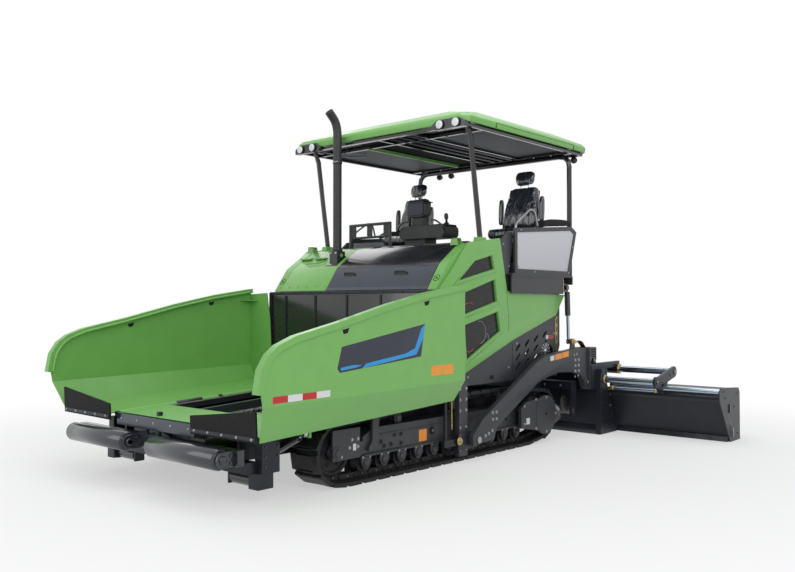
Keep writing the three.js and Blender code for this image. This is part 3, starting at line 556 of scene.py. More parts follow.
def make_front():
    """Push rollers, their ends, the beam's gussets, the bumper's bolts and the guard rollers' caps."""
    for side, word in SIDES:
        y, z = -3.367, 0.398
        drum = Piece(f"push_drum_{word}", side)
        edge = [(0, 0.020), (0, 0.062), (0.004, 0.068), (0.006, 0.078), (0.016, 0.085)]
        far_edge = [(0.984, 0.085), (0.994, 0.078), (0.996, 0.068), (1, 0.062), (1, 0.020)]
        drum.turned((0.190, y, z), (1.138, y, z), edge + far_edge, "navy", 64)
        drum.rod((0.150, y, z), (1.176, y, z), 0.020, "navy", 28)
        for a in between(0.3, 0.3 + 5 * math.pi / 3, 6):
            drum.bolt((0.1905, y + 0.050 * math.cos(a), z + 0.050 * math.sin(a)), (-1, 0, 0), 0.0085, "steel")
        drum.turned((0.1905, y, z), (0.184, y, z), [(0, 0.036), (0.6, 0.036), (1, 0.030)], "steel", 24)
        drum.place(f"push_roller_{word}", "black_paint", 0.0, replaces=(f"push_roller_{word}",))
        caps = Piece(f"beam_fittings_{word}", side)
        for x, way in ((1.168, 1), (0.160, -1)):
            caps.turned((x, y, z), (x + way * 0.010, y, z), [(0, 0.034), (0.7, 0.034), (1, 0.030)], "navy", 24)
            caps.bolt((x + way * 0.0005, y + 0.072, z + 0.030), (way, 0, 0), 0.012, "navy")
            caps.bolt((x + way * 0.0005, y + 0.072, z - 0.030), (way, 0, 0), 0.012, "navy")
        for x in (0.30, 0.62, 0.94):
            caps.bolt((x, -3.262, 0.36), (0, -1, 0), 0.011, "navy")
        caps.prism("y", [(0.11, 0.464), (0.24, 0.464), (0.11, 0.50)], -3.225, -3.205, "dark")
        caps.place("push_beam", "black_paint", 0.0015)

        low = Piece(f"bumper_fittings_{word}", side)
        for zz in (0.29, 0.37, 0.45):
            low.bolt((1.170, -2.82, zz), (1, 0, 0), 0.010, "navy")
            low.bolt((1.170, -2.95, zz), (1, 0, 0), 0.010, "navy")
        low.turned((1.036, -2.925, 0.160), (1.062, -2.925, 0.160), [(0, 0.034), (0.6, 0.034), (1, 0.022)], "navy", 20)
        low.turned((0.742, -2.925, 0.160), (1.006, -2.925, 0.160),
                   [(0, 0.05), (0.02, 0.0565), (0.98, 0.0565), (1, 0.05)], "navy", 40)
        low.turned((0.34, -3.0848, 0.281), (0.34, -3.100, 0.281), [(0, 0.032), (1, 0.028)], "dark", 16)
        low.place("chassis", "grey_paint", 0.0015)


RAIL_TOP = [(-3.363, 0.926), (-3.333, 1.093), (-3.270, 1.188), (-3.190, 1.246), (-3.025, 1.308), (-2.562, 1.406),
            (-1.962, 1.551), (-1.443, 1.654), (-0.930, 1.729)]


def height_on(line, y):
    """Height at y of a line of (y, z) points, and its last height past its end."""
    for (a, za), (b, zb) in zip(line, line[1:]):
        if a <= y <= b:
            return za + (zb - za) * (y - a) / (b - a)
    return line[-1][1]


def patch(piece, x, outline, thick, look):
    """A thin film on a face square to X."""
    piece.prism("x", outline, x, x + thick, look)


def make_wings():
    """Films and slots drawn as black patches of painted shade on the wings, their rolled rails and hinge knuckles,
    and the flaps' clamping strips.
    """
    for side, word in SIDES:
        trim = Piece(f"wing_trim_{word}", side)
        x = WING_OUTER
        shape = [(-2.535, 1.253), (-1.475, 1.422), (-1.535, 1.130), (-2.558, 1.045), (-2.585, 1.08)]
        patch(trim, x, shape, 0.0008, "ink")
        sweep = [(-2.30, 1.066), (-1.60, 1.150), (-1.500, 1.300), (-1.475, 1.422), (-1.530, 1.380), (-1.62, 1.205),
                 (-1.75, 1.165), (-2.25, 1.105)]
        patch(trim, x + 0.0008, sweep, 0.0006, "blue")
        thin = [(-2.545, 1.062), (-2.36, 1.080), (-2.30, 1.096), (-2.40, 1.100), (-2.548, 1.085)]
        patch(trim, x + 0.0008, thin, 0.0006, "blue")
        for i, look in enumerate(("red", "white", "red", "white")):
            a, b = -3.256 + 0.148 * i, -3.256 + 0.148 * (i + 1)
            low = lambda y: 0.856 + (y + 3.256) * 0.012
            patch(trim, x, [(a, low(a)), (b, low(b)), (b, low(b) + 0.052), (a, low(a) + 0.052)], 0.0008, look)
        for a in (-1.385, -1.215):
            patch(trim, x, [(a, 0.945), (a + 0.155, 0.950), (a + 0.155, 1.040), (a, 1.035)], 0.0008, "orange")
        # Slots under the rail drawn as black patches: painted shade where the openings are.
        for y in (-2.49, -1.45):
            h = height_on(RAIL_TOP, y) - 0.068
            slot = [(y - 0.024, h), (y + 0.024, h + 0.010), (y + 0.040, h + 0.050), (y - 0.040, h + 0.034)]
            patch(trim, x - 0.0115, slot, 0.013, "rubber")
        trim.place(f"wing_{word}", "green_paint")

        edge = Piece(f"wing_edges_{word}", side)
        stiff = [(p[0], p[1] - 0.012) for p in RAIL_TOP]
        edge.tube(filleted([(1.566, y, z + 0.026) for y, z in stiff], 0.05), 0.013, "green", 10)
        for y in (-2.42, -1.36):
            low, high = hinge_height(y - 0.15), hinge_height(y + 0.15)
            knuckle = [(0, 0.026), (0.02, 0.0285), (0.98, 0.0285), (1, 0.026)]
            edge.turned((0.645, y - 0.15, low), (0.645, y + 0.15, high), knuckle, "dark", 20)
        edge.prism("z", [(1.604, -0.884), (1.604, -1.05), (1.45, -0.884)], 1.640, 1.646, "green")
        edge.place(f"wing_{word}", "green_paint", 0.003)

        strip = Piece(f"flap_clamp_{word}", side)
        base = [(0.642, 0.556), (1.456, 0.562), (1.456, 0.592), (0.642, 0.586)]
        strip.prism("y", base, FLAP_FACE - 0.008, FLAP_FACE - 0.001, "dark")
        for a in between(0.69, 1.42, 5):
            strip.bolt((a, FLAP_FACE - 0.008, 0.574), (0, -1, 0), 0.009)
        strip.place(f"wing_{word}", "rubber", 0.001)


def conveyor_height(y):
    """Height of the conveyor's floor, which rises towards the augers."""
    return 0.497 + (y + 3.03) * 0.121 / 2.17


def make_hopper():
    """Seams, seals and bolts of the hopper's rear wall and floor, and the conveyor slats."""
    wall = Piece("rear_wall_trim")
    y = rear_wall.y0
    for x in between(-1.0, 1.0, 5):
        wall.box((x - 0.012, x + 0.012), (y - 0.010, y + 0.001), (0.80, 1.70), "dark")
    for side in (1, -1):
        wall.prism("y", [(side * 1.235, 1.0), (side * 1.272, 1.0), (side * 1.285, 1.42), (side * 1.285, 1.735),
                         (side * 1.248, 1.735), (side * 1.248, 1.42)], y - 0.014, y + 0.001, "rubber")
        for z in between(1.05, 1.70, 6):
            wall.bolt((side * 1.225, y, z), (0, -1, 0), 0.010, "dark")
    wall.box((-1.22, 1.22), (y - 0.016, y + 0.001), (1.716, 1.742), "dark")
    for x in between(-1.1, 1.1, 9):
        wall.bolt((x, y - 0.016, 1.729), (0, -1, 0), 0.007, "dark")
    wall.place("chassis", "black_paint", 0.002)

    slats = Piece("conveyor_slats")
    for side in (1, -1):
        for i in range(17):
            y = -2.98 + 0.128 * i
            z = conveyor_height(y)
            slat = [(y, z - 0.002), (y + 0.040, z), (y + 0.034, z + 0.020), (y + 0.006, z + 0.019)]
            slats.prism("x", slat, *sorted((side * 0.075, side * 0.530)), "worn")
        for x in (0.078, 0.530):
            for i in range(34):
                y = -2.99 + 0.064 * i
                z = conveyor_height(y)
                slats.box((side * x - 0.009, side * x + 0.009), (y, y + 0.046), (z - 0.002, z + 0.014), "steel")
    slats.place("chassis", "worn_steel", 0.0015, 1)

    apron = Piece("hopper_apron")
    apron.prism("x", [(-3.232, 0.500), (-3.216, 0.500), (-3.216, 0.596), (-3.150, 0.604), (-3.150, 0.612),
                      (-3.232, 0.606)], -0.600, 0.600, "bonnet")
    for x in between(-0.52, 0.52, 5):
        apron.bolt((x, -3.232, 0.56), (0, -1, 0), 0.009)
    apron.prism("x", [(-3.222, 0.613), (-2.780, 0.642), (-2.780, 0.648), (-3.222, 0.619)], -0.560, 0.560, "green")
    apron.box((-0.018, 0.018), (-3.19, -3.15), (0.600, 0.655), "dark")
    apron.prism("x", [(-2.780, 0.642), (-2.640, 0.600), (-2.640, 0.606), (-2.780, 0.648)], -0.560, 0.560, "green")
    strip = [(y, hinge_height(y)) for y in (-3.14, -0.91)] + [(y, hinge_height(y) + 0.006) for y in (-0.91, -3.14)]
    for side in (1, -1):
        apron.prism("x", strip, *sorted((side * 0.560, side * 0.612)), "worn")
    apron.place("chassis", "black_paint", 0.002)


# ---------------------------------------------------------------- hood, side bodies and body frame
HOOD_LINE = [(-0.824, 1.752), (-0.640, 2.010), (-0.330, 2.226), (-0.030, 2.270), (0.250, 2.304)]


def hood_height(y):
    """Height of the hood's top face at y."""
    return height_on(HOOD_LINE, y)


def on_hood(points, thick):
    """An outline that lies on the hood: (y, height) down and (y, height + thick) back."""
    return [(y, hood_height(y)) for y in points] + [(y, hood_height(y) + thick) for y in points[::-1]]


def make_hood():
    """The door's panels, handles and hinges, and the hood's brackets, steps, grip and exhaust foot."""
    lid = Piece("door_panels")
    x0, x1 = door.x0 + 0.004, door.x1 - 0.004
    lid.prism("x", on_hood([-0.800, -0.655], 0.003), x0, x1, "bonnet")
    lid.prism("x", on_hood([-0.648, -0.640, -0.330, -0.045], 0.003), x0, x1, "smoked")
    for x in (-0.092, 0.658):
        y = -0.700
        z = hood_height(y) + 0.003
        handle = [(x - 0.075, y, z - 0.002), (x - 0.065, y - 0.028, z + 0.020), (x + 0.065, y - 0.028, z + 0.020),
                  (x + 0.075, y, z - 0.002)]
        lid.tube(filleted(handle, 0.02), 0.009, "plastic", 10)
        lid.box((x - 0.085, x + 0.085), (y - 0.016, y + 0.012), (z - 0.020, z + 0.010), "plastic")
    for x in (-0.27, 0.376, 1.02):
        z = hood_height(-0.06)
        lid.box((x - 0.045, x + 0.045), (-0.10, -0.040), (z, z + 0.014), "plastic")
    for x in (-0.20, 0.95):
        z = hood_height(-0.60)
        lid.rod((x, -0.60, z), (x, -0.606, z + 0.008), 0.014, "plastic", 16)
    lid.place("hood_door", "black_paint", 0.0015)

    top = Piece("hood_trim")
    for side in (1, -1):
        x, z = side * 1.10, hood_height(-0.34)
        for y, foot in ((-0.370, z), (-0.298, hood_height(-0.30))):
            ear = [(x - 0.05, foot), (x + 0.05, foot), (x + 0.036, z + 0.075), (x - 0.036, z + 0.075)]
            top.prism("y", ear, y, y + 0.008, "green")
        top.box((x - 0.036, x + 0.036), (-0.37, -0.290), (z + 0.068, z + 0.076), "green")
        for d in (-0.022, 0.022):
            top.rod((x + d, -0.3705, z + 0.046), (x + d, -0.3735, z + 0.046), 0.008, "amber", 12)
        top.box(sorted((side * 1.145, side * 1.150)), (-0.62, -0.05), (2.0, 2.002), "green")
    for x in (-0.80, -1.05):
        z = hood_height(-0.45)
        top.box((x - 0.09, x + 0.09), (-0.50, -0.40), (z - 0.01, z + 0.006), "green")
    grip = [(-0.95, -0.58), (-0.75, -0.58), (-0.68, -0.54)]
    top.tube(filleted([(x, y, hood_height(y) + 0.028) for x, y in grip], 0.03), 0.010, "green", 8)
    for x in between(-1.15, -0.40, 6):
        top.bolt((x, -0.79, hood_height(-0.79) + 0.002), (0, -0.8, 0.6), 0.007, "green")
    top.prism("x", on_hood([-0.60, -0.44], 0.010), -0.585, -0.415, "black")
    top.place("chassis", "green_paint", 0.003)


WINDOWS = [
    [(-0.488, 1.841), (-0.208, 2.052), (0.105, 2.126), (0.148, 1.979)],
    [(-0.410, 1.713), (0.160, 1.868), (0.199, 1.632), (-0.399, 1.488)],
    [(-0.390, 1.382), (0.212, 1.520), (0.262, 1.307), (-0.352, 1.018)],
]


def grown(outline, d):
    """The outline moved out by d, mitred."""
    n = len(outline)
    area = sum(p[0] * q[1] - q[0] * p[1] for p, q in zip(outline, outline[1:] + outline[:1]))
    sign = 1 if area > 0 else -1
    out = []
    for i, p in enumerate(outline):
        a, b = outline[i - 1], outline[(i + 1) % n]
        n1 = Vector((p[1] - a[1], a[0] - p[0])).normalized() * sign
        n2 = Vector((b[1] - p[1], p[0] - b[0])).normalized() * sign
        m = n1 + n2
        m *= 2 / m.length_squared
        out.append((p[0] + m.x * d, p[1] + m.y * d))
    return out


def moulded_frame(piece, outline, x, look):
    """A rounded moulding round a window: it rises from the panel at x and falls into the opening."""
    rows = []
    for grow, rise in ((0.044, -0.0020), (0.040, 0.0010), (0.026, 0.0085), (0.014, 0.0100), (0.003, 0.0070),
                       (-0.002, -0.0010), (-0.002, -0.0200), (0.010, -0.0200)):
        rows.append([(x + rise, *p) for p in grown(outline, grow)])
    n, m = len(outline), len(rows)
    faces = [(k * n + i, k * n + (i + 1) % n, ((k + 1) % m) * n + (i + 1) % n, ((k + 1) % m) * n + i)
             for k in range(m) for i in range(n)]
    piece.solid([p for row in rows for p in row], faces, look)


def inside(point, outline):
    """Whether a point lies in an outline."""
    y, z = point
    hit = False
    for (ay, az), (by, bz) in zip(outline, outline[1:] + outline[:1]):
        if (az > z) != (bz > z) and y < (by - ay) * (z - az) / (bz - az) + ay:
            hit = not hit
    return hit


def make_side_bodies():
    """Mesh behind the windows, raised window frames, seams, screws and the round vent."""
    for side, word in SIDES:
        mesh = Piece(f"window_mesh_{word}", side)
        x = 1.2250
        for outline in WINDOWS:
            low, high = min(z for _, z in outline), max(z for _, z in outline)
            left, right = min(y for y, _ in outline), max(y for y, _ in outline)
            step = 0.0125
            count = int((high - low + right - left) / step)
            for i in range(count):
                line = [(left + t, low - (right - left) + step * i + t) for t in between(0, right - left, 40)]
                run = [p for p in line if inside(p, outline)]
                if len(run) > 2:
                    (ay, az), (by, bz) = run[0], run[-1]
                    mesh.prism("x", [(ay, az), (ay + 0.003, az - 0.003), (by + 0.003, bz - 0.003), (by, bz)],
                               x, x + 0.003, "black")
        for y, z, r in ((-0.10, 1.30, 0.12), (0.02, 1.24, 0.05)):
            ring = arc((y, z), r, -80, 100, 14)
            mesh.tube([(x + 0.003, a, b) for a, b in ring], 0.0035, "steel", 6)
        for path in ([(-0.36, 1.12), (-0.28, 1.10), (-0.20, 1.13)], [(-0.34, 1.60), (-0.26, 1.615), (-0.20, 1.60)]):
            mesh.tube([(x + 0.003, a, b) for a, b in path], 0.005, "red", 6)
        mesh.place("chassis", "black_paint")

        frames = Piece(f"window_frames_{word}", side)
        for outline in WINDOWS:
            moulded_frame(frames, outline, body.x1, "green")
        seam = [(0.392, 1.735), (0.398, 1.735), (0.430, 1.45), (0.424, 1.30), (0.418, 1.30), (0.424, 1.45)]
        patch(frames, body.x1 - 0.001, seam, 0.0014, "rubber")
        for y, z in ((0.285, 1.985), (0.315, 1.46), (0.400, 1.50), (-0.45, 1.20), (1.50, 1.69)):
            frames.rod((body.x1, y, z), (body.x1 + 0.004, y, z), 0.012, "zinc", 16)
        crest = [(y, hood_height(y) + 0.003) for y in (-0.820, -0.640, -0.330, -0.030, 0.245)]
        frames.prism("x", crest + [(y, z - 0.13) for y, z in crest[::-1]], 1.120, 1.2242, "green")
        y = -0.745
        spot = Vector((1.170, y, hood_height(y) + 0.003))
        out = Vector((0, -0.258, 0.184)).normalized()
        along = out.cross(Vector((1, 0, 0)))
        for i in range(6):
            a = math.radians(i * 60 + 30)
            c = spot + Vector((1, 0, 0)) * 0.036 * math.cos(a) + along * 0.036 * math.sin(a)
            d = (c - spot).normalized().cross(out) * 0.013
            frames.rod(tuple(c - d), tuple(c + d), 0.0045, "rubber", 8)
        frames.rod(tuple(spot), tuple(spot + out * 0.003), 0.012, "rubber", 16)
        frames.place("chassis", "green_paint", 0.004)

        lower = Piece(f"body_fittings_{word}", side)
        hub = (1.235, 1.050)
        lower.turned((1.205, *hub), (1.240, *hub), [(0, 0.030), (0.6, 0.030), (1, 0.016)], "zinc", 20)
        lower.turned((1.200, *hub), (1.214, *hub), [(0, 0.108), (1, 0.108)], "rubber", 36)
        for i in range(14):
            a = math.radians(i * 360 / 14)
            b = a + 0.42
            inner = [(hub[0] + 0.026 * math.cos(a), hub[1] + 0.026 * math.sin(a)),
                     (hub[0] + 0.100 * math.cos(b - 0.1), hub[1] + 0.100 * math.sin(b - 0.1)),
                     (hub[0] + 0.100 * math.cos(b + 0.07), hub[1] + 0.100 * math.sin(b + 0.07)),
                     (hub[0] + 0.026 * math.cos(a + 0.2), hub[1] + 0.026 * math.sin(a + 0.2))]
            lower.prism("x", inner, 1.213, 1.228, "zinc")
        plate = [(1.462, 1.03), (1.500, 1.05), (1.500, 1.46), (1.455, 1.43)]
        lower.prism("x", plate, 1.2238, 1.2278, "brass")
        for z in between(1.10, 1.40, 4):
            lower.box((1.2278, 1.2284), (1.474, 1.490), (z - 0.03, z + 0.03), "rubber")
        for y, z in ((0.46, 0.90), (1.42, 1.00), (1.42, 1.25), (0.62, 1.16), (-0.30, 0.84)):
            lower.bolt((FRAME_FACE, y, z), (1, 0, 0), 0.010)
        lower.box((FRAME_FACE, 1.2250), (0.535, 0.541), (0.80, 1.16), "rubber")
        lower.box((FRAME_FACE, 1.2260), (0.10, 0.17), (0.790, 0.835), "rubber")
        for i, look in enumerate(("white", "red", "red")):
            lower.box((FRAME_FACE, 1.2246), (1.25 + 0.055 * i, 1.295 + 0.055 * i), (1.19, 1.235), look)
        lower.place("chassis", "grey_paint", 0.001)


# ---------------------------------------------------------------- tow points and arms
def make_tow():
    """Bolts, pipe and glands of the tow columns, the shuttles' pins, and the arms' bolts, films and rear lugs."""
    for side, word in SIDES:
        fixed = Piece(f"column_fittings_{word}", side)
        x = COLUMN_FACE
        for z in (0.13, 0.24, 0.35, 0.52, 0.63, 0.74):
            fixed.bolt((x, -0.535, z), (1, 0, 0), 0.012)
            fixed.bolt((x, -0.430, z), (1, 0, 0), 0.012)
        fixed.box((x - 0.001, x + 0.010), (-0.560, -0.548), (0.062, 0.798), "grey")
        pipe = [(1.290, -0.700, 1.10), (1.285, -0.690, 0.95), (1.275, -0.640, 0.70), (1.272, -0.632, 0.34)]
        fixed.tube(filleted(pipe, 0.06), 0.008, "brass", 8)
        fixed.rod((1.290, -0.760, 0.640), (1.290, -0.760, 0.668), 0.0345, "zinc", 28)
        fixed.rod((1.290, -0.760, 1.085), (1.290, -0.760, 1.118), 0.0345, "black", 28)
        fixed.place("chassis", "grey_paint", 0.001)

        moving = Piece(f"shuttle_fittings_{word}", side)
        pin = [(0, 0.040), (0.4, 0.040), (0.6, 0.030), (1, 0.030)]
        moving.turned((1.3305, -0.585, 0.225), (1.352, -0.585, 0.225), pin, "brass", 28)
        moving.turned((1.352, -0.585, 0.225), (1.358, -0.585, 0.225), [(0, 0.014), (1, 0.012)], "steel", 16)
        moving.rod((1.3305, -0.57, 0.282), (1.338, -0.57, 0.282), 0.010, "red", 12)
        moving.rod((1.400, -0.340, 0.215), (1.408, -0.340, 0.215), 0.034, "zinc", 24)
        moving.place(f"tow_shuttle_{word}", "worn_steel", 0.001)

        plates = Piece(f"arm_fittings_{word}", side)
        x = ARM_FACE
        for y, z in ((-0.23, 0.245), (-0.17, 0.262), (-0.11, 0.285), (-0.10, 0.47), (-0.03, 0.47), (-0.10, 0.40),
                     (-0.03, 0.40)):
            plates.bolt((x, y, z), (1, 0, 0), 0.013)
        for y in (1.62, 1.70):
            for z in (0.93, 0.865, 0.80):
                plates.bolt((x, y, z), (1, 0, 0), 0.015)
        for y, z in ((1.60, 0.99), (1.66, 1.00), (1.62, 0.735), (1.69, 0.742)):
            plates.bolt((x, y, z), (1, 0, 0), 0.010)
        for a in (1.165, 1.325):
            rise = (a - 1.165) * 0.10
            film = [(a, 0.952 + rise), (a + 0.150, 0.966 + rise), (a + 0.150, 1.030 + rise), (a, 1.016 + rise)]
            patch(plates, x, film, 0.0008, "orange")
        patch(plates, x, [(1.06, 0.945), (1.145, 0.955), (1.145, 1.01), (1.06, 1.0)], 0.0008, "white")
        boss = [(0, 0.045), (0.5, 0.045), (0.6, 0.028), (1, 0.028)]
        plates.turned((x - 0.001, 1.86, 0.655), (x + 0.040, 1.86, 0.655), boss, "grey", 24)
        plates.rod((x + 0.039, 1.86, 0.655), (x + 0.046, 1.86, 0.655), 0.012, "brass", 14)
        for z in (0.60, 0.70, 0.80, 0.90, 1.0):
            plates.bolt((1.412, 1.924, z), (0, -1, 0), 0.011, "grey")
        plates.place("screed", "grey_paint", 0.0012)


# ---------------------------------------------------------------- canopy and exhaust
def make_canopy():
    """Ceiling panels, ribs and tubes under the roof, the lamps, and the roof's seams."""
    under = roof.z0
    inside_roof = Piece("ceiling")
    low, high = under - 0.010, under - 0.002
    inside_roof.box((0.50, 1.245), (-0.02, 1.72), (low + 0.002, high), "ceiling")
    inside_roof.box((-1.245, -0.42), (-0.02, 1.72), (low + 0.002, high), "ceiling")
    inside_roof.box((-0.42, 0.50), (-0.34, 1.72), (high - 0.003, high), "lining")
    inside_roof.box((-1.275, -1.245), (-0.38, 2.05), (low - 0.030, high), "black")
    inside_roof.box((1.245, 1.275), (-0.38, 2.05), (low - 0.030, high), "black")
    for y0, y1 in ((-0.40, -0.34), (-0.06, -0.02), (1.72, 1.78), (2.02, 2.08)):
        inside_roof.box((-1.245, 1.245), (y0, y1), (low - 0.024, high), "black")
    inside_roof.box((-1.245, 1.245), (1.90, 2.02), (low - 0.006, high), "black")
    for x in (0.0, 0.50):
        inside_roof.box((x - 0.014, x + 0.014), (-0.34, 1.72), (low - 0.020, high), "black")
    inside_roof.prism("y", [(-0.425, low - 0.034), (-0.405, low - 0.034), (-0.405, high), (-0.425, high)],
                      -0.05, 1.70, "green")
    for x in (0.17, 0.30, 0.43):
        inside_roof.rod((x, -0.33, low - 0.014), (x, 1.72, low - 0.014), 0.016, "dark", 14)
    for x in (-1.0, -0.75, 0.75, 1.0):
        inside_roof.bolt((x, -0.04, low - 0.024), (0, 0, -1), 0.010)
        inside_roof.bolt((x, 1.75, low - 0.024), (0, 0, -1), 0.010)
    cable = [(-0.95, -0.30, low - 0.03), (-0.90, 0.10, low - 0.045), (-0.80, 0.30, low - 0.02)]
    inside_roof.tube(filleted(cable, 0.1), 0.009, "zinc", 8)
    inside_roof.place("chassis", "black_paint", 0.002, 1)

    lamps = Piece("roof_lamps")
    front = roof.y0 - 0.003
    for side in (1, -1):
        pod = [(side * x, z) for x, z in ((0.845, under - 0.012), (0.925, under + 0.050), (1.215, under + 0.050),
                                          (1.295, under + 0.006), (1.295, under - 0.052), (0.90, under - 0.052))]
        lamps.prism("y", pod, front - 0.010, front + 0.060, "black")
        for x, z in ((0.979, under - 0.002), (1.190, under - 0.004)):
            lamps.turned((side * x, front + 0.030, z), (side * x, front - 0.030, z),
                         [(0, 0.040), (0.6, 0.050), (1, 0.050)], "plastic", 28)
            lamps.turned((side * x, front - 0.028, z), (side * x, front - 0.038, z),
                         [(0, 0.044), (0.6, 0.044), (1, 0.030)], "lens", 28)
            for i in range(7):
                a = math.radians(i * 60)
                r = 0.0 if i == 6 else 0.024
                lamps.turned((side * x + r * math.cos(a), front - 0.034, z + r * math.sin(a)),
                             (side * x + r * math.cos(a), front - 0.044, z + r * math.sin(a)),
                             [(0, 0.011), (0.7, 0.009), (1, 0.004)], "lens", 10)
    turns = [math.pi * i / 10 for i in range(11)]
    ball = [(0.5 - 0.5 * math.cos(a), 0.043 * max(0.06, math.sin(a))) for a in turns]
    for x in (-1.04, -0.83, 1.13):
        y, z = roof.y1 - 0.030, under - 0.065
        lamps.rod((x, y, under + 0.004), (x, y, under - 0.030), 0.010, "black", 10)
        lamps.turned((x, y, under - 0.022), (x, y, under - 0.108), ball, "plastic", 20)
        lamps.turned((x, y + 0.036, z), (x, y + 0.046, z), [(0, 0.032), (1, 0.024)], "lens", 20)
    lamps.place("chassis", "black_paint", 0.0015)

    seams = Piece("roof_seams")
    for side in (1, -1):
        x = sorted((side * 1.3105, side * 1.3212))
        seams.box(x, (0.10, 1.76), (under + 0.055, under + 0.0575), "rubber")
        seams.box(x, (1.76, 1.7625), (under + 0.006, under + 0.0575), "rubber")
        seams.box(x, (0.0975, 0.10), (under + 0.006, under + 0.0575), "rubber")
        for y in (-0.20, 0.50, 1.20, 1.90):
            clip = sorted((side * 1.15, side * 1.19))
            seams.box(clip, (y - 0.05, y + 0.05), (under + 0.118, under + 0.135), "green")
    seams.place("chassis", "green_paint")

    stack = Piece("exhaust_pipe")
    x, y = -0.5, -0.5
    top = Vector((x - 0.010, y - 0.130, exhaust.z1 - 0.020))
    path = filleted([(x, y, 2.20), (x, y, 3.690), tuple(top)], 0.14, 8)
    stack.tube(path, 0.050, "plastic", 36)
    mouth = (Vector(path[-1]) - Vector(path[-2])).normalized()
    stack.rod(tuple(top - mouth * 0.01), tuple(top + mouth * 0.001), 0.044, "rubber", 32)
    for z, r, h in ((3.23, 0.056, 0.03), (2.62, 0.0525, 0.006), (2.215, 0.060, 0.035)):
        stack.turned((x, y, z), (x, y, z + h), [(0, r - 0.004), (0.15, r), (0.85, r), (1, r - 0.004)], "plastic", 36)
    stack.rod((x - 0.012, y - 0.062, 3.245), (x + 0.075, y - 0.062, 3.245), 0.006, "zinc", 10)
    foot = [(y, hood_height(y) + 0.0004) for y in (-0.565, -0.435)] + [(-0.435, 2.215), (-0.565, 2.215)]
    stack.prism("x", foot, x - 0.062, x + 0.062, "black")
    for d in (-0.040, 0.040):
        stack.bolt((x + d, -0.565, 2.19), (0, -1, 0), 0.010)
    for s in (1, -1):
        stack.rod((x + s * 0.062, y, 2.165), (x + s * 0.070, y, 2.165), 0.020, "green", 16)
    stack.place("chassis", "black_paint", 0.0015, replaces=("exhaust",))


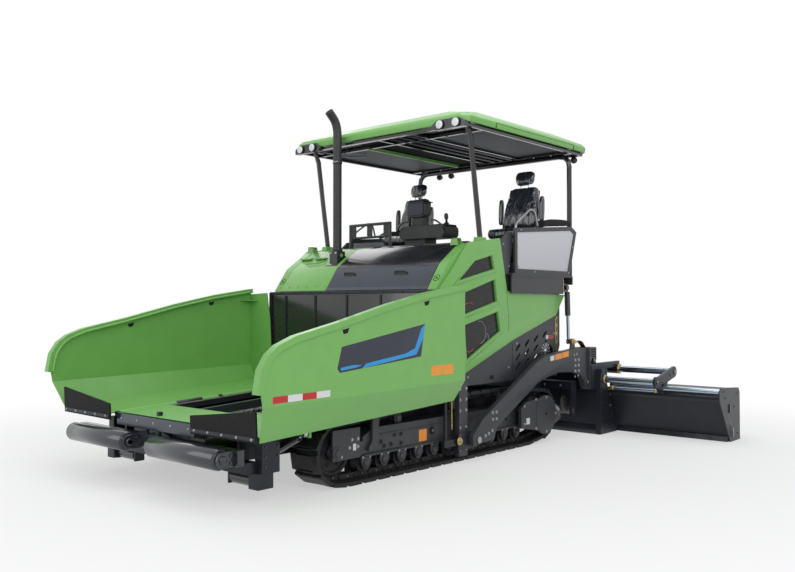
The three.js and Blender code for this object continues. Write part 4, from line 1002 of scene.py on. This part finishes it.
# ---------------------------------------------------------------- platform
def make_platform():
    """Screen frames' bolts, handrails and lips, the tread plates, the console and the front guards."""
    trim = Piece("platform_trim")
    for side in (1, -1):
        x = side * 1.290
        ring = [(0.56, 2.02), (0.56, 2.36), (0.62, 2.435), (1.00, 2.478), (1.40, 2.515), (1.78, 2.52),
                (1.80, 2.30), (1.76, 2.12), (1.70, 1.98), (1.30, 1.97), (0.90, 1.97)]
        for y, z in ring[::2]:
            trim.bolt((x, y if y < 1.6 else y - 0.035, z), (side, 0, 0), 0.008)
        low = side * 1.2898
        trim.box(sorted((low, low + side * 0.006)), (0.43, 1.54), (1.905, 1.932), "grey")
        trim.box(sorted((side * 1.2895, side * 1.2930)), (1.535, 1.545), (1.73, 1.93), "brass")
        trim.tube(filleted([(side * 1.276, 0.532, 1.95), (side * 1.276, 0.532, 2.50), (side * 1.276, 0.842, 2.69),
                            (side * 1.276, 0.935, 2.66), (side * 1.276, 0.985, 2.50)], 0.05), 0.013, "steel", 10)
        trim.prism("x", [(0.262, 1.93), (0.43, 1.93), (0.51, 2.25), (0.50, 2.40), (0.40, 2.40), (0.262, 2.29)],
                   *sorted((side * 1.222, side * 1.245)), "grey")
        for y, z in ((0.33, 2.26), (0.44, 2.02)):
            trim.bolt((side * 1.245, y, z), (side, 0, 0), 0.008)
    trim.place("chassis", "grey_paint", 0.002)

    plate = Piece("platform_tread")
    for x0, x1 in ((-1.19, -0.30), (-0.28, 0.28), (0.30, 1.19)):
        plate.box((x0, x1), (0.68, 1.84), (1.945, 1.9485), "tread")
    for x0, x1 in ((-1.19, -0.30), (0.30, 1.19)):
        plate.box((x0, x1), (0.29, 0.66), (1.945, 1.9485), "tread")
    plate.place("chassis", "grey_paint", 0.001, 1)

    desk = Piece("operator_console")
    desk.box((-0.26, 0.06), (0.42, 0.64), (1.9454, 2.385), "plastic")
    slab = rounded(-0.304, 0.385, 2.385, 2.535, 0.055, 5)
    desk.prism("y", slab, 0.37, 0.66, "plastic")
    desk.prism("y", rounded(-0.285, 0.366, 2.528, 2.548, 0.008, 3), 0.40, 0.645, "ink")
    desk.prism("x", [(0.44, 2.53), (0.56, 2.53), (0.53, 2.68), (0.46, 2.68)], -0.17, 0.0, "plastic")
    pod = rounded(-0.224, 0.054, 2.655, 2.845, 0.045, 5)
    desk.prism("y", pod, 0.42, 0.54, "plastic")
    desk.prism("y", rounded(-0.205, 0.035, 2.675, 2.825, 0.03, 5), 0.405, 0.422, "ink")
    desk.prism("y", rounded(-0.195, 0.025, 2.685, 2.815, 0.02, 4), 0.538, 0.545, "screen")
    desk.prism("x", [(0.40, 2.846), (0.60, 2.835), (0.60, 2.842), (0.40, 2.856)], -0.215, 0.045, "plastic")
    for x in (-0.245, 0.325):
        boot = [(0, 0.032), (0.3, 0.030), (0.5, 0.016), (1, 0.012)]
        desk.turned((x, 0.50, 2.545), (x, 0.50, 2.60), boot, "rubber", 18)
        knob = [(0, 0.014), (0.3, 0.024), (0.8, 0.024), (1, 0.010)]
        desk.turned((x, 0.50, 2.60), (x, 0.49, 2.68), knob, "plastic", 18)
    for i in range(6):
        for j in range(3):
            x, y = 0.045 + 0.043 * i, 0.45 + 0.06 * j
            button = [(0, 0.011), (0.8, 0.011), (1, 0.008)]
            desk.turned((x, y, 2.545), (x, y, 2.556), button, ("zinc", "rubber", "white")[(i + j) % 3], 12)
    stop = [(0, 0.02), (0.5, 0.02), (0.6, 0.026), (1, 0.022)]
    desk.turned((-0.235, 0.62, 2.545), (-0.235, 0.62, 2.575), stop, "red", 18)
    for x in (-0.304, 0.385):
        grip = [(x, 0.40, 2.46), (x * 1.02, 0.34, 2.52), (x * 0.75, 0.335, 2.59), (x * 0.5, 0.37, 2.60)]
        desk.tube(filleted(grip, 0.04), 0.011, "black", 10)
    desk.place("chassis", "black_paint", 0.005, 3, replaces=("console",))

    guard = Piece("front_guards")
    for a in (-1.04, -0.76, -0.48):
        guard.prism("y", rounded(a - 0.045, a + 0.045, 2.452, 2.585, 0.012, 3), 0.322, 0.330, "plastic")
    guard.place("chassis", "black_paint", 0.001)


# ---------------------------------------------------------------- seats
def pad_rings(stations_of, n=28):
    """Rings of a pad: centre, half width along X, half depth along a direction, and squareness."""
    rings = []
    for centre, half, depth, over, power in stations_of:
        ring = []
        for k in range(n):
            a = 2 * math.pi * k / n
            c, s = math.cos(a), math.sin(a)
            u = math.copysign(abs(c) ** power, c) * half
            v = math.copysign(abs(s) ** power, s) * depth
            ring.append(tuple(Vector(centre) + Vector((u, 0, 0)) + Vector(over) * v))
        rings.append(ring)
    return rings


def shrunk_end(station, toward, share):
    """A station moved by toward, with its width and depth reduced."""
    centre, half, depth, over, power = station
    return (tuple(Vector(centre) + Vector(toward)), half * share, depth * share, over, power)


def puff(made, voxel, pressure, cap):
    """Fills a pad with air under its cover and keeps the creases that this leaves."""
    scene = bpy.context.scene
    remesh = made.modifiers.new("even", "REMESH")
    remesh.mode = "VOXEL"
    remesh.voxel_size = voxel
    settle(made)
    start = [v.co.copy() for v in made.data.vertices]
    cloth = made.modifiers.new("cover", "CLOTH")
    cloth.settings.quality = 5
    cloth.settings.mass = 0.25
    cloth.settings.bending_stiffness = 0.4
    cloth.settings.use_pressure = True
    cloth.settings.uniform_pressure_force = pressure
    cloth.settings.shrink_min = -0.07
    cloth.settings.effector_weights.gravity = 0
    cloth.point_cache.frame_start = 1
    cloth.point_cache.frame_end = 20
    for f in range(1, 21):
        scene.frame_set(f)
    settle(made)
    for v, was in zip(made.data.vertices, start):
        move = v.co - was
        if move.length > cap:
            v.co = was + move.normalized() * cap
    scene.frame_set(1)


def settle(made):
    """Applies every modifier of an object."""
    graph = bpy.context.evaluated_depsgraph_get()
    data = bpy.data.meshes.new_from_object(made.evaluated_get(graph))
    made.modifiers.clear()
    old = made.data
    made.data = data
    bpy.data.meshes.remove(old)
    for face in made.data.polygons:
        face.use_smooth = True


def creased(made, deep, seed):
    """Long shallow folds in the loose film over a pad, running down the pad."""
    for v in made.data.vertices:
        p = v.co
        fold = noise.noise(Vector((p.x * 22 + seed, p.y * 5 + p.z * 3, p.z * 4)))
        fine = noise.noise(Vector((p.x * 55 + seed, p.y * 14, p.z * 16)))
        v.co = p + v.normal * (deep * (1 - abs(fold) * 2.2) + deep * 0.35 * fine)


# stations of the pads: y, z, half width along X, half depth
CUSHION = ((0.872, 2.432, 0.215, 0.040), (0.93, 2.436, 0.232, 0.050), (1.02, 2.433, 0.238, 0.052),
           (1.12, 2.430, 0.238, 0.050), (1.21, 2.430, 0.236, 0.048), (1.262, 2.431, 0.225, 0.044))
BACKREST = ((1.292, 2.515, 0.228, 0.040), (1.300, 2.60, 0.250, 0.052), (1.316, 2.70, 0.252, 0.054),
            (1.334, 2.80, 0.240, 0.050), (1.352, 2.90, 0.222, 0.046), (1.368, 2.98, 0.205, 0.042),
            (1.378, 3.022, 0.185, 0.034))
HEADREST = ((1.383, 3.062, 0.098, 0.030), (1.390, 3.10, 0.122, 0.040), (1.402, 3.16, 0.128, 0.042),
            (1.412, 3.21, 0.112, 0.036))
ARMREST = ((1.296, 2.585, 0.022, 0.030), (1.300, 2.66, 0.027, 0.036), (1.306, 2.80, 0.028, 0.036),
           (1.312, 2.885, 0.024, 0.028))
UP, BACK = (0, 0, 1), (0, 1, 0)
SEAT_X = 0.85


def pad_stations(x, table, over, power, first, last, shares=(0.6, 0.6)):
    """A pad's stations at x, with a smaller one past each end."""
    row = [((x, y, z), half, depth, over, power) for y, z, half, depth in table]
    return [shrunk_end(row[0], first, shares[0])] + row + [shrunk_end(row[-1], last, shares[1])]


def make_seats():
    """Cushion, backrest, headrest and armrests of each seat, its stand, and a pouch on each screen frame."""
    for side, word in SIDES:
        middle = side * SEAT_X
        shapes = {
            "cushion": pad_stations(middle, CUSHION, UP, 0.42, (0, -0.010, -0.008), (0, 0.008, 0)),
            "backrest": pad_stations(middle, BACKREST, BACK, 0.45, (0, 0, -0.010), (0, 0, 0.009)),
            "headrest": pad_stations(middle, HEADREST, BACK, 0.5, (0, 0, -0.008), (0, 0, 0.008)),
        }
        for s in (1, -1):
            bar = pad_stations(middle + s * 0.290, ARMREST, BACK, 0.6, (0, 0, -0.008), (0, 0, 0.010), (0.5, 0.4))
            shapes[f"armrest_{'outer' if s == side else 'inner'}"] = bar
        for i, (name, stations_of) in enumerate(shapes.items()):
            pad = Piece(f"seat_{name}_{word}")
            pad.loft(pad_rings(stations_of), "vinyl")
            made = pad.place("chassis", "vinyl", 0.0, replaces=(f"seat_{word}",))
            made.modifiers.new("round", "SUBSURF").levels = 1
            settle(made)
            if not name.startswith("arm"):
                puff(made, 0.010, 3.0, 0.011)
                creased(made, 0.0035, side * 3.1 + i * 7.7)
            finer = made.modifiers.new("finer", "SUBSURF")
            finer.levels = finer.render_levels = 1
        stand = Piece(f"seat_stand_{word}")
        folds = []
        for k in range(13):
            w = 0.150 if k % 2 else 0.128
            z = 2.095 + 0.018 * k
            folds.append([(middle + x, 1.12 + y, z) for x, y in rounded(-w, w, -w * 1.1, w * 1.1, 0.04, 3)])
        stand.loft(folds, "rubber")
        for s in (1, -1):
            stand.box(sorted((middle + s * 0.232, middle + s * 0.262)), (1.285, 1.325), (2.40, 2.60), "plastic")
            stand.rod((middle + s * 0.055, 1.385, 3.02), (middle + s * 0.055, 1.388, 3.07), 0.006, "chrome", 10)
        shell = [(1.355, 2.50), (1.372, 2.50), (1.430, 2.98), (1.412, 2.98)]
        stand.prism("x", shell, middle - 0.19, middle + 0.19, "plastic")
        stand.place("chassis", "rubber", 0.002)

        pouch = Piece(f"document_pouch_{word}")
        x = side * 1.262
        shape = [((x, y, z), 0.045, depth, UP, 0.6) for y, z, depth in (
            (1.07, 2.505, 0.015), (1.10, 2.535, 0.034), (1.25, 2.560, 0.042), (1.40, 2.570, 0.040),
            (1.55, 2.580, 0.038), (1.68, 2.585, 0.033), (1.715, 2.585, 0.016))]
        pouch.loft(pad_rings(shape, 20), "rubber")
        made = pouch.place("chassis", "vinyl", 0.0)
        made.modifiers.new("round", "SUBSURF").levels = 2
        settle(made)
        creased(made, 0.0025, side * 5.0)


# ---------------------------------------------------------------- screed
MID_TUBE, REAR_TUBE, LOW_TUBE = (2.170, 0.672), (2.670, 0.770), (2.335, 0.592)
SHORT_TUBE = (2.272, 0.560)
SCREED_END = 1.500        # end face of the screed's frame


def collar(piece, x, spot, r, width, look):
    """A ring with chamfered edges round a tube that runs along X."""
    piece.turned((x, *spot), (x + width, *spot), [(0, r - 0.003), (0.2, r), (0.8, r), (1, r - 0.003)], look, 32)


def make_screed():
    """Guide tubes with their end plates, the fittings of the screed and extensions, the grating, the rear panel."""
    for side, word in SIDES:
        tubes = Piece(f"guide_tubes_{word}", side)
        for spot in (MID_TUBE, REAR_TUBE):
            tubes.turned((0.960, *spot), (2.152, *spot), [(0, 0.038), (0.002, 0.041), (1, 0.041)], "chrome", 40)
        for y, z in ((2.140, 0.625), (2.560, 0.735)):
            tubes.turned((2.180, y, z), (2.188, y, z), [(0, 0.014), (1, 0.012)], "navy", 14)
        outline = [*arc(MID_TUBE, 0.066, 60, 270, 10), (2.250, 0.562), (2.290, 0.552), (2.300, 0.600),
                   *arc(LOW_TUBE, 0.050, 150, 30, 6), (2.400, 0.575), (2.480, 0.660),
                   *arc(REAR_TUBE, 0.066, 280, 460, 10)]
        tubes.prism("x", outline, 2.150, 2.180, "dark")
        collar(tubes, 2.180, MID_TUBE, 0.030, 0.006, "navy")
        collar(tubes, 2.180, REAR_TUBE, 0.030, 0.006, "navy")
        tubes.place(f"extension_guide_{word}", "chrome", 0.0015, replaces=(f"extension_guide_{word}",))

        ends = Piece(f"screed_fittings_{word}", side)
        collar(ends, SCREED_END, MID_TUBE, 0.052, 0.020, "brass")
        collar(ends, 1.440, REAR_TUBE, 0.064, 0.018, "brass")
        collar(ends, SCREED_END, MID_TUBE, 0.060, 0.006, "navy")
        for y, z in ((2.09, 0.60), (2.09, 0.40), (2.09, 0.20), (2.20, 0.10), (2.36, 0.10), (2.13, 0.76),
                     (2.21, 0.76)):
            ends.bolt((SCREED_END, y, z), (1, 0, 0), 0.011, "navy")
        ends.box((SCREED_END, SCREED_END + 0.006), (2.055, 2.062), (0.02, 0.64), "navy")
        ends.prism("x", [(2.062, 0.545), (2.075, 0.545), (2.075, 0.560), (2.062, 0.560)], 0.10, 1.43, "navy")
        sole = [(2.058, 0.0), (2.075, 0.0), (2.075, 0.115), (2.066, 0.115), (2.058, 0.09)]
        ends.prism("x", sole, 0.02, 1.44, "navy")
        for x in (1.36, 0.92):
            lug = [(2.10, 0.850), (2.20, 0.850), *arc((2.15, 0.905), 0.032, -20, 200, 8)]
            ends.prism("x", lug, x - 0.014, x + 0.014, "dark")
            ends.rod((x - 0.016, 2.15, 0.905), (x + 0.016, 2.15, 0.905), 0.012, "brass", 14)
        for i in range(9):
            for j in range(4):
                ends.rod((1.181 + 0.001 * j, 2.255 + 0.034 * i, 0.925 + 0.030 * j),
                         (1.186, 2.255 + 0.034 * i, 0.925 + 0.030 * j), 0.009, "rubber", 8)
        ends.box((0.98, 1.182), (2.240, 2.560), (0.872, 1.045), "grey")
        for x in (1.00, 1.16):
            ends.box((x - 0.01, x + 0.01), (2.25, 2.55), (0.8502, 0.873), "grey")
        for i in range(5):
            for j in range(9):
                x, y = 1.005 + 0.038 * i, 2.255 + 0.034 * j
                ends.rod((x, y, 1.0448), (x, y, 1.0462), 0.010, "rubber", 8)
        ends.box((1.04, 1.30), (2.110, 2.215), (0.850, 0.935), "black")
        for i in range(3):
            ends.rod((1.08 + 0.08 * i, 2.109, 0.90), (1.08 + 0.08 * i, 2.095, 0.90), 0.014, "brass", 12)
        for z in (0.34, 0.48):
            ends.rod((SCREED_END, 2.32, z), (SCREED_END + 0.008, 2.32, z), 0.018, "zinc", 14)
        ends.place("screed", "grey_paint", 0.002)

        far = Piece(f"extension_fittings_{word}", side)
        x = extension.x1
        far.rod((SCREED_END, *LOW_TUBE), (2.875, *LOW_TUBE), 0.0356, "chrome", 36)
        far.rod((SCREED_END, 2.46, 0.585), (2.875, 2.46, 0.585), 0.030, "chrome", 28)
        far.rod((1.46, *SHORT_TUBE), (2.14, *SHORT_TUBE), 0.018, "chrome", 20)
        collar(far, 1.52, SHORT_TUBE, 0.026, 0.05, "brass")
        collar(far, 2.10, SHORT_TUBE, 0.024, 0.03, "brass")
        slope = [(2.286, 0.505), (2.300, 0.505), (2.330, 0.480), (2.320, 0.470)]
        far.prism("x", slope, 1.43, 2.873, "dark")
        lip = [(2.532, 0.062), (2.545, 0.060), (2.582, 0.004), (2.500, 0.004)]
        far.prism("x", lip, 1.43, 2.873, "navy")
        for y, z, r in ((2.36, 0.60, 0.020), (2.42, 0.52, 0.016), (2.56, 0.18, 0.030), (2.62, 0.10, 0.018),
                        (2.70, 0.40, 0.022), (2.80, 0.55, 0.016), (2.80, 0.08, 0.016)):
            far.turned((x - 0.001, y, z), (x + 0.004, y, z), [(0, r * 1.25), (1, r * 1.15)], "navy", 20)
            far.rod((x + 0.002, y, z), (x + 0.0045, y, z), r * 0.8, "rubber", 18)
        far.box((x - 0.001, x + 0.012), (2.520, 2.540), (0.34, 0.44), "black")
        handle = [(x + d, 2.60, z) for d, z in ((-0.002, 0.15), (0.018, 0.15), (0.018, 0.06), (-0.002, 0.06))]
        far.tube(filleted(handle, 0.01), 0.008, "steel", 8)
        far.rod((2.84, 2.862, 0.50), (2.84, 2.905, 0.50), 0.034, "brass", 24)
        far.rod((2.84, 2.905, 0.50), (2.84, 2.930, 0.50), 0.012, "black", 16)
        far.tube(filleted([(2.82, 2.93, 0.50), (2.84, 2.94, 0.50), (2.84, 2.95, 0.28)], 0.02), 0.012, "black", 10)
        for i in range(9):
            far.box((1.60, 2.80), (2.86 + 0.028 * i, 2.866 + 0.028 * i), (0.262, 0.272), "steel")
        far.place(f"extension_{word}", "grey_paint", 0.0015)

    walk = Piece("walkway_grating")
    z = WALKWAY_TOP
    for i in range(17):
        y = 2.945 + 0.030 * i
        walk.box((-1.285, 1.285), (y, y + 0.005), (z, z + 0.012), "steel")
    for i in range(52):
        x = -1.285 + 0.0502 * i
        walk.box((x, x + 0.004), (2.945, 3.430), (z + 0.002, z + 0.0105), "steel")
    walk.place("screed", "grey_paint")

    rear = Piece("rear_fittings")
    y = 1.520
    for side in (1, -1):
        for x0, x1 in ((0.10, 0.62), (0.68, 1.12)):
            panel = [(side * a, b) for a, b in rounded(x0, x1, 1.12, 1.80, 0.03)]
            rear.prism("y", panel, y - 0.001, y + 0.012, "grey")
        for x in (0.36, 0.90):
            latch = [(side * a, b) for a, b in rounded(x - 0.05, x + 0.05, 1.44, 1.49, 0.012)]
            rear.prism("y", latch, y + 0.011, y + 0.022, "plastic")
            for z in (1.18, 1.74):
                rear.bolt((side * (x + 0.14), y + 0.012, z), (0, 1, 0), 0.010)
                rear.bolt((side * (x - 0.14), y + 0.012, z), (0, 1, 0), 0.010)
        back = deck.y1
        rear.box(sorted((side * 1.02, side * 1.19)), (back, back + 0.022), (1.845, 1.915), "plastic")
        for x0, x1, look in ((1.03, 1.10, "red"), (1.11, 1.18, "amber")):
            rear.box(sorted((side * x0, side * x1)), (back + 0.022, back + 0.030), (1.855, 1.905), look)
    rear.place("chassis", "grey_paint", 0.002)


def make_augers():
    """The bolts of the augers' carrier."""
    parts = Piece("auger_fittings")
    for side in (1, -1):
        for x in between(0.25, 1.15, 5):
            parts.bolt((side * x, 1.700, 0.61), (0, -1, 0), 0.011)
            parts.bolt((side * x, 1.820, 0.61), (0, 1, 0), 0.011)
        parts.bolt((side * 1.288, 1.72, 0.60), (0, 0, 1), 0.010)
    parts.place("chassis", "grey_paint", 0.001)


# radius, place of the upper end along X, height of the bend
HOSES = ((0.011, 1.352, 1.00), (0.010, 1.376, 0.985), (0.009, 1.330, 0.992))


def make_hoses():
    """Hoses from the arm's rear lug down to the screed's light box, clamped at both ends."""
    for side, word in SIDES:
        lines = Piece(f"screed_hoses_{word}", side)
        for r, x, z in HOSES:
            path = [(x, 1.70, 1.150), (x - 0.004, 1.83, 1.150), (x - 0.02, 1.95, 1.06), (x - 0.06, 2.04, z),
                    (x - 0.10, 2.10, 0.90), (x - 0.11, 2.16, 0.865)]
            route = filleted(path, 0.08, 6)
            lines.tube(route, r, "rubber", 12)
            for k in (5, len(route) // 2, len(route) - 5):
                a, b = Vector(route[k]), Vector(route[k + 1])
                mid = a.lerp(b, 0.5)
                way = (b - a).normalized() * 0.014
                lines.rod(tuple(mid - way), tuple(mid + way), r * 1.16, "red", 12)
            lines.rod(path[0], (x, 1.655, 1.150), r * 1.3, "brass", 6)
            lines.rod(path[-1], (x - 0.112, 2.185, 0.858), r * 1.3, "brass", 6)
        boss = [(0, 0.038), (0.6, 0.038), (0.75, 0.026), (1, 0.024)]
        lines.turned((1.334, 1.650, 1.150), (1.385, 1.650, 1.150), boss, "brass", 24)
        lines.place("screed", "rubber", 0.0)


# ---------------------------------------------------------------- camera, light and floor
LAMPS = (("key", (9.5, -5.5, 5.5), 7.0, 320), ("top", (0.5, 0.5, 9.5), 8.0, 300),
         ("far", (-8.0, 3.0, 6.0), 6.0, 120), ("front", (-3.0, -11.0, 5.0), 6.0, 220))


def background_rays(work, links):
    """1 for the rays that show the plain background: the camera's, and those off metal and through glass."""
    path = work.new("ShaderNodeLightPath")
    seen = path.outputs["Is Camera Ray"]
    for kind in ("Is Glossy Ray", "Is Transmission Ray"):
        either = add(work, "ShaderNodeMath", operation="MAXIMUM")
        links.new(seen, either.inputs[0])
        links.new(path.outputs[kind], either.inputs[1])
        seen = either.outputs[0]
    return seen


def make_stage():
    """Camera, a floor that fades to white away from the machine, the world and four soft lamps."""
    scene = bpy.context.scene
    eye = bpy.data.cameras.new("camera")
    eye.lens = 37.9
    eye.sensor_width = 36
    camera = bpy.data.objects.new("camera", eye)
    camera.location = (6.43, -7.327, 1.596)
    camera.rotation_euler = (math.radians(91.27), 0, math.radians(41.31))
    bpy.context.collection.objects.link(camera)
    scene.camera = camera
    scene.view_settings.view_transform = "Standard"

    ground = Piece("floor")
    ground.box((-60, 60), (-60, 60), (-0.05, -0.0012), "white")
    bmesh.ops.recalc_face_normals(ground.mesh, faces=ground.mesh.faces)
    data = bpy.data.meshes.new("floor")
    ground.mesh.to_mesh(data)
    ground.mesh.free()
    made, work, links, shader = tree("pale_floor")
    shader.inputs["Base Color"].default_value = (0.80, 0.80, 0.80, 1)
    shader.inputs["Roughness"].default_value = 0.9
    shader.inputs["Specular IOR Level"].default_value = 0.1
    away = add(work, "ShaderNodeVectorMath", operation="LENGTH")
    links.new(work.new("ShaderNodeTexCoord").outputs["Object"], away.inputs[0])
    reach = add(work, "ShaderNodeMapRange", {"From Min": 3.0, "From Max": 7.5, "To Min": 0.5},
                interpolation_type="SMOOTHSTEP")
    links.new(away.outputs["Value"], reach.inputs["Value"])
    share = add(work, "ShaderNodeMath", operation="MULTIPLY")
    links.new(reach.outputs["Result"], share.inputs[0])
    links.new(background_rays(work, links), share.inputs[1])
    plain = add(work, "ShaderNodeEmission", {"Strength": 1.0})
    blend = work.new("ShaderNodeMixShader")
    links.new(share.outputs[0], blend.inputs["Fac"])
    links.new(shader.outputs["BSDF"], blend.inputs[1])
    links.new(plain.outputs["Emission"], blend.inputs[2])
    links.new(blend.outputs["Shader"], work["Material Output"].inputs["Surface"])
    data.materials.append(made)
    surface = bpy.data.objects.new("floor", data)
    bpy.context.collection.objects.link(surface)

    world = bpy.data.worlds.new("studio")
    world.use_nodes = True
    scene.world = world
    work, links = world.node_tree.nodes, world.node_tree.links
    soft = work["Background"]
    soft.inputs["Color"].default_value = (0.97, 0.985, 1.0, 1)
    soft.inputs["Strength"].default_value = 0.54
    plain = add(work, "ShaderNodeBackground", {"Color": (1, 1, 1, 1), "Strength": 1.0})
    mix = work.new("ShaderNodeMixShader")
    links.new(background_rays(work, links), mix.inputs["Fac"])
    links.new(soft.outputs["Background"], mix.inputs[1])
    links.new(plain.outputs["Background"], mix.inputs[2])
    links.new(mix.outputs["Shader"], work["World Output"].inputs["Surface"])

    for name, spot, size, power in LAMPS:
        lamp = bpy.data.lights.new(name, "AREA")
        lamp.size = size
        lamp.energy = power
        made = bpy.data.objects.new(name, lamp)
        made.location = spot
        made.rotation_euler = (Vector((0, 0, 1.2)) - Vector(spot)).to_track_quat("-Z", "Y").to_euler()
        bpy.context.collection.objects.link(made)


# ---------------------------------------------------------------- finish of the CAD nodes
NODE_LOOK = {
    "main_frame": "dark", "front_bumper": "dark", "push_beam": "navy", "hopper_floor": "dark", "conveyor": "worn",
    "hopper_rear_wall": "black", "engine_block": "grey", "hood": "green", "hood_door": "bonnet",
    "body_frame": "grey", "platform": "grey", "console": "plastic", "canopy_frame": "black", "roof": "green",
    "exhaust": "black", "auger_carrier": "dark", "screed_frame": "dark", "screed_walkway": "dark",
    "track": "track", "roller_frame": "grey", "final_drive": "grey", "side_body": "green", "side_grille": "black",
    "screen_pane": "pane", "seat": "vinyl", "tow_column": "grey", "tow_arm": "grey", "hopper_wing": "green",
    "wing_flap": "rubber", "push_roller": "navy", "wing_cylinder": "black", "wing_piston": "chrome",
    "tow_shuttle": "dark", "lift_cylinder": "black", "lift_piston": "chrome", "extension_guide": "chrome",
    "extension": "dark", "auger": "worn",
}
BEVELS = {"roof": 0.012, "side_body": 0.006, "tow_arm": 0.004, "tow_column": 0.003, "push_beam": 0.004,
          "front_bumper": 0.004, "hood": 0.004, "final_drive": 0.004, "main_frame": 0.003, "hopper_rear_wall": 0.003}


def dress_nodes():
    """A finish, and rounded edges where BEVELS gives a width, on every CAD node."""
    for name, made in nodes.items():
        kind = name.replace("_left", "").replace("_right", "")
        data = made.data
        data.materials.clear()
        data.materials.append(LOOK[NODE_LOOK[kind]])
        round_off(made, BEVELS.get(kind, 0.0), 3, weld=True)


make_stage()
dress_nodes()
make_tracks()
make_roller_frames()
make_front()
make_wings()
make_hopper()
make_hood()
make_side_bodies()
make_tow()
make_canopy()
make_platform()
make_seats()
make_screed()
make_augers()
make_hoses()
